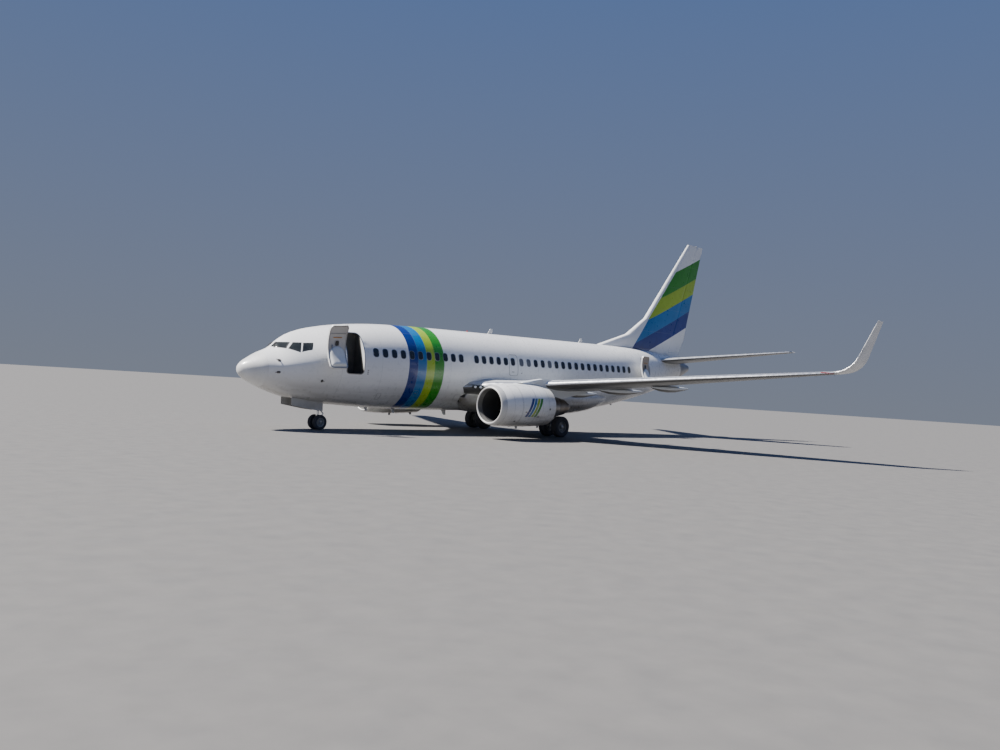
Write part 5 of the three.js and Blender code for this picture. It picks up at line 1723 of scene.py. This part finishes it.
    def _cowl_details(self) -> None:
        """Seams, latches, vents, drains and the strake of the cowl."""
        seams, trims, vents = bmesh.new(), bmesh.new(), bmesh.new()
        for station, width in ((0.70, 0.008), (1.18, 0.014), (2.08, 0.02), (3.0, 0.01)):
            join_into(seams, sheet_of(1, 96, lambda u, v: self.on_cowl(
                station + (u - 0.5) * width, 0.36 + (2 * math.pi - 0.72) * v, 0.002)))
        lines = [(turn, 0.72, 3.32, 24, 0.012) for turn in (math.pi, 0.42, -0.42)]
        lines += [(turn, 1.25, 2.02, 10, 0.010) for turn in (1.95, -1.95)]
        lines += [(turn, 2.12, 2.95, 10, 0.010) for turn in (2.4, -2.4)]
        for turn, start, stop, steps, width in lines:
            join_into(seams, sheet_of(1, steps, lambda u, v: self.on_cowl(
                start + (stop - start) * v, turn + (u - 0.5) * width, 0.002)))
        finish_piece(seams, f"cowl_seams_{self.hand_name}", SEAM, place=self.place)
        for station, turn, wide, tall in (
                (1.42, 1.82, 0.12, 0.08), (1.62, 1.82, 0.05, 0.05), (1.5, -1.82, 0.12, 0.08),
                (0.95, 2.35, 0.09, 0.09), (0.95, -2.35, 0.09, 0.09), (2.3, 2.05, 0.16, 0.10),
                (3.05, 1.66, 0.11, 0.10), (3.05, -1.66, 0.11, 0.10)):
            plate = rounded_plate(wide, tall, min(wide, tall) * 0.3)
            cut_long_edges(plate, 0.04)
            for vert in plate.verts:
                vert.co = self.on_cowl(station - vert.co.x, turn + vert.co.y / 1.05, 0.003)
            join_into(vents if station in (0.95, 3.05) else trims, plate)
        finish_piece(vents, f"cowl_vents_{self.hand_name}", PORT_SHADE, place=self.place)
        for k in range(5):
            at = self.on_cowl(1.35 + 0.45 * k, math.pi, 0.006)
            join_into(trims, block((0.11, 0.05, 0.02), Matrix.Translation(at), 0.006))
        for station in (1.75, 3.2):
            drain = self.on_cowl(station, math.pi - 0.05, 0.05)
            join_into(trims, block((0.14, 0.02, 0.16), Matrix.Translation(drain), 0.006))
        finish_piece(trims, f"cowl_fittings_{self.hand_name}", DULL_METAL, place=self.place, smooth=40)
        inner = -self.hand
        strake = sheet_of(10, 3, lambda u, v: self.on_cowl(
            0.95 + 0.75 * u + 0.06 * v, inner * (0.72 - 0.03 * u),
            0.005 + 0.17 * v * math.sin(math.pi * min(1, 0.12 + u * 0.75))))
        drawn_out(strake, strake.faces[:], (0, 0.012 * inner, 0.008))
        finish_piece(strake, f"cowl_strake_{self.hand_name}", PLAIN_WHITE, place=self.place)


# Landing gear

@dataclass(frozen=True)
class WheelPair:
    """A twin-wheel body's sizes."""

    side: float
    radius: float
    half_width: float
    rim: float
    axle: float
    grooves: tuple[float, ...]
    holes: int
    braked: bool


NOSE_WHEEL = WheelPair(0.195, 0.335, 0.098, 0.19, 0.038, (-0.055, -0.02, 0.02, 0.055), 8, False)
MAIN_WHEEL = WheelPair(0.43, 0.535, 0.205, 0.275, 0.062, (-0.125, -0.045, 0.045, 0.125), 9, True)
NOSE_STATION = 4.06
MAIN_STATION, MAIN_SIDE = 16.6, 2.86
STANDING = Matrix.Rotation(-math.pi / 2, 4, "Y")


def above_ground(station: float, side: float, height: float) -> Vector:
    """A place in the row frame straight over the ground."""
    level = math.cos(PITCH) * station - math.sin(PITCH) * 2.0
    return Vector((NOSE_X - level, side, height))


@dataclass
class Gear:
    """Nose and main gear with their doors, wells, hoses and links."""

    def build(self) -> None:
        """Builds the gear's pieces."""
        self._wheels("nose_wheels", NOSE_WHEEL)
        for suffix in SIDES:
            self._wheels(f"main_wheels_{suffix}", MAIN_WHEEL)
            dress(f"main_gear_leg_{suffix}", f"main_gear_strut_{suffix}", GEAR_PAINT, 35, 0.004)
            self._main_details(suffix)
        dress("nose_gear_leg", "nose_gear_strut", GEAR_PAINT, 35, 0.004)
        dress("nose_gear_fork", "nose_gear_axle", GEAR_PAINT, 35, 0.003)
        for suffix in SIDES:
            dress(f"nose_gear_door_{suffix}", f"nose_gear_door_panel_{suffix}", SHADED_DOOR_PAINT, 35, 0.004)
        self._nose_details()
        self._wells()

    def _wheels(self, body: str, wheel: WheelPair) -> None:
        """Tyres, rims and hub caps of a twin-wheel body."""
        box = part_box(body)
        centre = Vector([(low + high) / 2 for low, high in zip(*box)])
        centre.z = wheel.radius
        tyres, rims, caps = bmesh.new(), bmesh.new(), bmesh.new()
        half, axle = wheel.half_width, wheel.axle
        for hand in (1, -1):
            place = (Matrix.Translation(centre + Vector((0, wheel.side * hand, 0)))
                     @ Matrix.Rotation(math.pi / 2 * hand, 4, "Z"))
            join_into(tyres, lathe(self._tyre_profile(wheel), 88, place))
            join_into(rims, self._rim(wheel, place))
            cap = ((0.52, 1.5), (0.78, 1.45), (0.86, 1.1), (0.88, 0))
            join_into(caps, lathe([(half * along, axle * out) for along, out in cap], 28, place))
            for k in range(wheel.holes * 2):
                turn = 2 * math.pi * k / (wheel.holes * 2)
                spot = Matrix.Rotation(turn, 4, "X") @ Vector((half * 0.62, 0, wheel.rim * 0.78))
                bolt = lathe([(0, wheel.rim * 0.035), (0.014, wheel.rim * 0.035), (0.014, 0)], 6,
                             place @ Matrix.Translation(spot))
                join_into(caps, bolt)
        side = wheel.side
        join_into(rims, lathe([(-side, 0), (-side, axle), (side, axle), (side, 0)], 32,
                              Matrix.Translation(centre) @ Matrix.Rotation(math.pi / 2, 4, "Z")))
        finish_piece(tyres, f"{body}_tyres", RUBBER, body, UPRIGHT, 40, [body])
        finish_piece(rims, f"{body}_rims", RIM_PAINT, body, UPRIGHT, 40)
        finish_piece(caps, f"{body}_hub_caps", DULL_METAL, body, UPRIGHT, 40)

    def _tyre_profile(self, wheel: WheelPair) -> list[tuple[float, float]]:
        """A tyre's closed cross-section with its tread grooves, place along the axle and radius."""
        half, top, rim = wheel.half_width, wheel.radius, wheel.rim
        depth, flank = 0.007, top - rim
        walls = [(0.66, rim - 0.004), (0.82, rim + 0.02)]
        walls += [(share, rim + flank * up)
                  for share, up in ((0.95, 0.25), (1.0, 0.45), (0.99, 0.62), (0.94, 0.78), (0.86, 0.9))]
        walls.append((0.76, top - flank * 0.035))
        right = [(half * share, radius) for share, radius in walls]
        crown: list[tuple[float, float]] = []
        for groove in wheel.grooves:
            crown += [(groove - 0.006, top), (groove - 0.004, top - depth), (groove + 0.004, top - depth),
                      (groove + 0.006, top)]
        left = [(-x, radius) for x, radius in right]
        return left + crown + right[::-1] + [left[0]]

    def _rim(self, wheel: WheelPair, place: Matrix) -> Shape:
        """A wheel's rim: a dished web with holes on its outer side, a plain one inside."""
        half, rim = wheel.half_width, wheel.rim
        web = lathe([(half * 0.80, rim + 0.012), (half * 0.84, rim + 0.004), (half * 0.80, rim - 0.012),
                     (half * 0.42, rim - 0.03), (half * 0.36, rim * 0.80), (half * 0.40, rim * 0.62),
                     (half * 0.40, rim * 0.44), (half * 0.62, wheel.axle * 1.6), (half * 0.62, wheel.axle)],
                    wheel.holes * 8)
        spots = {f: f.calc_center_median() for f in web.faces}
        bore = [f for f, spot in spots.items() if rim * 0.62 < math.hypot(spot.y, spot.z) < rim * 0.80]
        bore.sort(key=lambda f: math.atan2(spots[f].y, spots[f].z))
        gaps = [f for i, f in enumerate(bore) if i % 8 in (2, 3, 4)]
        edges = list({e for f in gaps for e in f.edges})
        bmesh.ops.delete(web, geom=gaps, context="FACES")
        drawn_out(web, [e for e in edges if e.is_valid and e.is_boundary], (-0.05, 0, 0))
        inside = [(-half * 0.80, rim + 0.012), (-half * 0.84, rim), (-half * 0.70, rim - 0.02),
                  (-half * 0.1, rim - 0.03), (-half * 0.05, wheel.axle)]
        drum = [(-half * 0.1, rim - 0.04), (-half * 0.98, rim - 0.045), (-half * 1.0, rim - 0.06),
                (-half * 1.0, wheel.axle + 0.05), (-half * 0.8, wheel.axle + 0.02)]
        backing = [(half * 0.1, rim - 0.031), (half * 0.1, wheel.axle)]
        profiles = [inside, drum, backing] if wheel.braked else [inside, backing]
        whole = joined([web, *(lathe(profile, 56) for profile in profiles)])
        whole.transform(place)
        return whole

    def _main_details(self, suffix: str) -> None:
        """Brake hoses, clamps and the piston of one main leg."""
        hand = SIDES[suffix]
        at = lambda forward, side, height: above_ground(MAIN_STATION - forward, (MAIN_SIDE + side) * hand,
                                                        height)
        hoses = bmesh.new()
        for side, reach in ((-0.05, 0.135), (0.0, 0.145), (0.05, 0.135)):
            join_into(hoses, tube([at(reach, side, 2.1), at(reach, side, 1.5), at(reach + 0.01, side, 1.15),
                                   at(reach + 0.09, side * 1.6, 0.9), at(reach + 0.04, side * 2.2, 0.66),
                                   at(0.10, side * 3, 0.58)], 0.011, 8))
        finish_piece(hoses, f"main_gear_hoses_{suffix}", BLACK_TRIM, place=UPRIGHT, smooth=60)
        clamps = bmesh.new()
        for height in (1.0, 1.35, 1.7, 2.0):
            turn = Matrix.Translation(at(0, 0, height)) @ STANDING
            join_into(clamps, lathe([(-0.02, 0.112), (-0.02, 0.128), (0.02, 0.128), (0.02, 0.112)], 28, turn))
            join_into(clamps, block((0.05, 0.14, 0.03), Matrix.Translation(at(0.13, 0, height)), 0.006))
        finish_piece(clamps, f"main_gear_clamps_{suffix}", DULL_METAL, place=UPRIGHT, smooth=40)
        piston = lathe([(-0.045, 0.076), (-0.045, 0.081), (0.05, 0.081), (0.05, 0.076)], 32,
                       Matrix.Translation(at(0, 0, 0.69)) @ STANDING)
        finish_piece(piston, f"main_gear_piston_{suffix}", CHROME, place=UPRIGHT, smooth=60)

    def _nose_details(self) -> None:
        """Taxi lamps, hoses, the steering actuators and the tow fitting of the nose leg."""
        at = lambda forward, side, height: above_ground(NOSE_STATION - forward, side, height)
        chrome = lathe([(-0.10, 0.0535), (-0.10, 0.0545), (0.10, 0.0545), (0.10, 0.0535)], 32,
                       Matrix.Translation(at(0, 0, 0.72)) @ STANDING)
        finish_piece(chrome, "nose_gear_piston", CHROME, "nose_steering", UPRIGHT, 60)
        lamps, cups = bmesh.new(), bmesh.new()
        for side in (-0.15, 0.15):
            place = Matrix.Translation(at(0.14, side, 1.36))
            cup = [(-0.07, 0), (-0.065, 0.04), (-0.02, 0.075), (0.03, 0.08), (0.03, 0.07), (0, 0.066)]
            join_into(cups, lathe(cup, 28, place))
            join_into(lamps, lathe([(0.0, 0.07), (0.018, 0.066), (0.03, 0.04), (0.034, 0)], 28, place))
        join_into(cups, block((0.05, 0.36, 0.05), Matrix.Translation(at(0.07, 0, 1.36)), 0.01))
        finish_piece(lamps, "taxi_lamps", CLEAR_LAMP, place=UPRIGHT, smooth=60)
        finish_piece(cups, "taxi_lamp_cups", DULL_METAL, place=UPRIGHT, smooth=50)
        hoses = bmesh.new()
        for side in (-0.035, 0.035):
            join_into(hoses, tube([at(0.1, side, 1.8), at(0.1, side, 1.3), at(0.13, side, 1.12)], 0.009, 8))
        for hand in (-1, 1):
            join_into(hoses, tube([at(-0.09, 0.03 * hand, 1.75), at(-0.095, 0.04 * hand, 1.25)], 0.009, 8))
        finish_piece(hoses, "nose_gear_hoses", BLACK_TRIM, place=UPRIGHT, smooth=60)
        rods = bmesh.new()
        for hand in (-1, 1):
            join_into(rods, tube([at(0.02, 0.16 * hand, 1.22), at(0.13, 0.10 * hand, 1.22)], 0.03, 14))
            join_into(rods, tube([at(-0.11, 0.14 * hand, 1.22), at(0.13, 0.13 * hand, 1.22)], 0.026, 14))
        join_into(rods, block((0.16, 0.13, 0.05), Matrix.Translation(at(0.0, 0, 1.22)), 0.012))
        finish_piece(rods, "steering_actuators", DULL_METAL, place=UPRIGHT, smooth=50)
        tow = joined([tube([at(0.06, 0, 0.30), at(0.17, 0, 0.27)], 0.022, 12),
                      tube([at(0.16, -0.05, 0.27), at(0.16, 0.05, 0.27)], 0.018, 12)])
        finish_piece(tow, "tow_fitting", DULL_METAL, "nose_steering", UPRIGHT, 50)

    def _wells(self) -> None:
        """Ribs and lines inside the nose well, and ribs inside the main wells."""
        lines, ribs = bmesh.new(), bmesh.new()
        for hand in (-1, 1):
            for height, radius in ((-1.25, 0.012), (-1.38, 0.009), (-1.5, 0.014)):
                line = [Vector((-2.40, 0.27 * hand, height)), Vector((-3.3, 0.272 * hand, height - 0.03)),
                        Vector((-4.36, 0.27 * hand, height))]
                join_into(lines, tube(line, radius, 6))
            for k in range(6):
                join_into(ribs, block((0.03, 0.03, 0.62), shift(-2.5 - 0.35 * k, 0.275 * hand, -1.34), 0.004))
        finish_piece(lines, "nose_well_lines", DULL_METAL, smooth=60)
        finish_piece(ribs, "nose_well_ribs", WELL_PRIMER)
        for suffix, hand in SIDES.items():
            ribs = joined([block((1.0 - 0.08 * abs(k), 0.025, 0.05),
                                 shift(-16.64, (0.79 + 0.2 * k) * hand, -1.81), 0.006) for k in range(-2, 3)])
            finish_piece(ribs, f"main_well_ribs_{suffix}", WELL_PRIMER)


# Stage

FLOOR = Finish("studio_floor", (0.148, 0.143, 0.138), (0.132, 0.128, 0.124), 0.75, 0, 2, 0.0)


@dataclass
class Stage:
    """A pale floor, a soft studio light and the camera at the photo's place."""

    camera_place: tuple[float, float, float] = (35.622, 34.906, 2.464)
    azimuth: float = 225.667
    elevation: float = 0.656
    roll: float = 3.562
    lens: float = 33.04

    def build(self) -> None:
        """Sets the stage."""
        self._floor()
        self._light()
        self._camera()

    def _floor(self) -> None:
        """A wide round floor."""
        shape = bmesh.new()
        bmesh.ops.create_circle(shape, cap_ends=True, segments=96, radius=230.0)
        mesh = bpy.data.meshes.new("studio_floor")
        shape.to_mesh(mesh)
        shape.free()
        mesh.materials.append(FLOOR.material())
        floor = bpy.data.objects.new("studio_floor", mesh)
        bpy.context.scene.collection.objects.link(floor)

    def _light(self) -> None:
        """A soft sky and a broad sun."""
        world = bpy.data.worlds.new("studio")
        bpy.context.scene.world = world
        world.use_nodes = True
        tree = world.node_tree
        tree.nodes.clear()
        place = tree.nodes.new("ShaderNodeTexCoord")
        parts = tree.nodes.new("ShaderNodeSeparateXYZ")
        ramp = tree.nodes.new("ShaderNodeValToRGB")
        glow = tree.nodes.new("ShaderNodeBackground")
        out = tree.nodes.new("ShaderNodeOutputWorld")
        tree.links.new(place.outputs["Generated"], parts.inputs[0])
        tree.links.new(parts.outputs["Z"], ramp.inputs["Fac"])
        tree.links.new(ramp.outputs["Color"], glow.inputs["Color"])
        tree.links.new(glow.outputs["Background"], out.inputs["Surface"])
        stops = ramp.color_ramp.elements
        stops[0].position, stops[0].color = 0.0, (0.185, 0.21, 0.27, 1)
        stops[1].position, stops[1].color = 0.6, (0.06, 0.14, 0.38, 1)
        glow.inputs["Strength"].default_value = 1.0
        sun_data = bpy.data.lights.new("studio_sun", "SUN")
        sun_data.energy, sun_data.angle = 12.0, math.radians(4)
        sun_data.color = (1.0, 0.96, 0.90)
        sun = bpy.data.objects.new("studio_sun", sun_data)
        sun.rotation_euler = Vector((-0.44, 0.36, -0.825)).to_track_quat("-Z", "Y").to_euler()
        bpy.context.scene.collection.objects.link(sun)

    def _camera(self) -> None:
        """The camera at the photo's angle and distance."""
        turn, rise, roll = (math.radians(v) for v in (self.azimuth, self.elevation, self.roll))
        ahead = Vector((math.cos(rise) * math.cos(turn), math.cos(rise) * math.sin(turn), math.sin(rise)))
        level = ahead.cross(Vector((0, 0, 1))).normalized()
        upright = level.cross(ahead)
        right = math.cos(roll) * level + math.sin(roll) * upright
        up = -math.sin(roll) * level + math.cos(roll) * upright
        data = bpy.data.cameras.new("photo_view")
        data.lens, data.sensor_width, data.clip_end = self.lens, 36.0, 1000.0
        camera = bpy.data.objects.new("photo_view", data)
        turned = Matrix((right, up, -ahead)).transposed().to_4x4()
        camera.matrix_world = Matrix.Translation(self.camera_place) @ turned
        bpy.context.scene.collection.objects.link(camera)
        bpy.context.scene.camera = camera


def main() -> None:
    """Builds the airliner and its stage."""
    logging.basicConfig(level=logging.INFO, format="%(name)s %(message)s")
    Fuselage().build()
    for door in ENTRY_DOORS:
        door.build()
    dress("wing_body_fairing", "fairing_skin", FAIRING_PAINT, 45)
    for suffix in SIDES:
        CabinSide(suffix).build()
        Wing(suffix).build()
        Engine(suffix).build()
    Fittings().build()
    Tail().build()
    Gear().build()
    Stage().build()


if __name__ == "__main__":
    main()
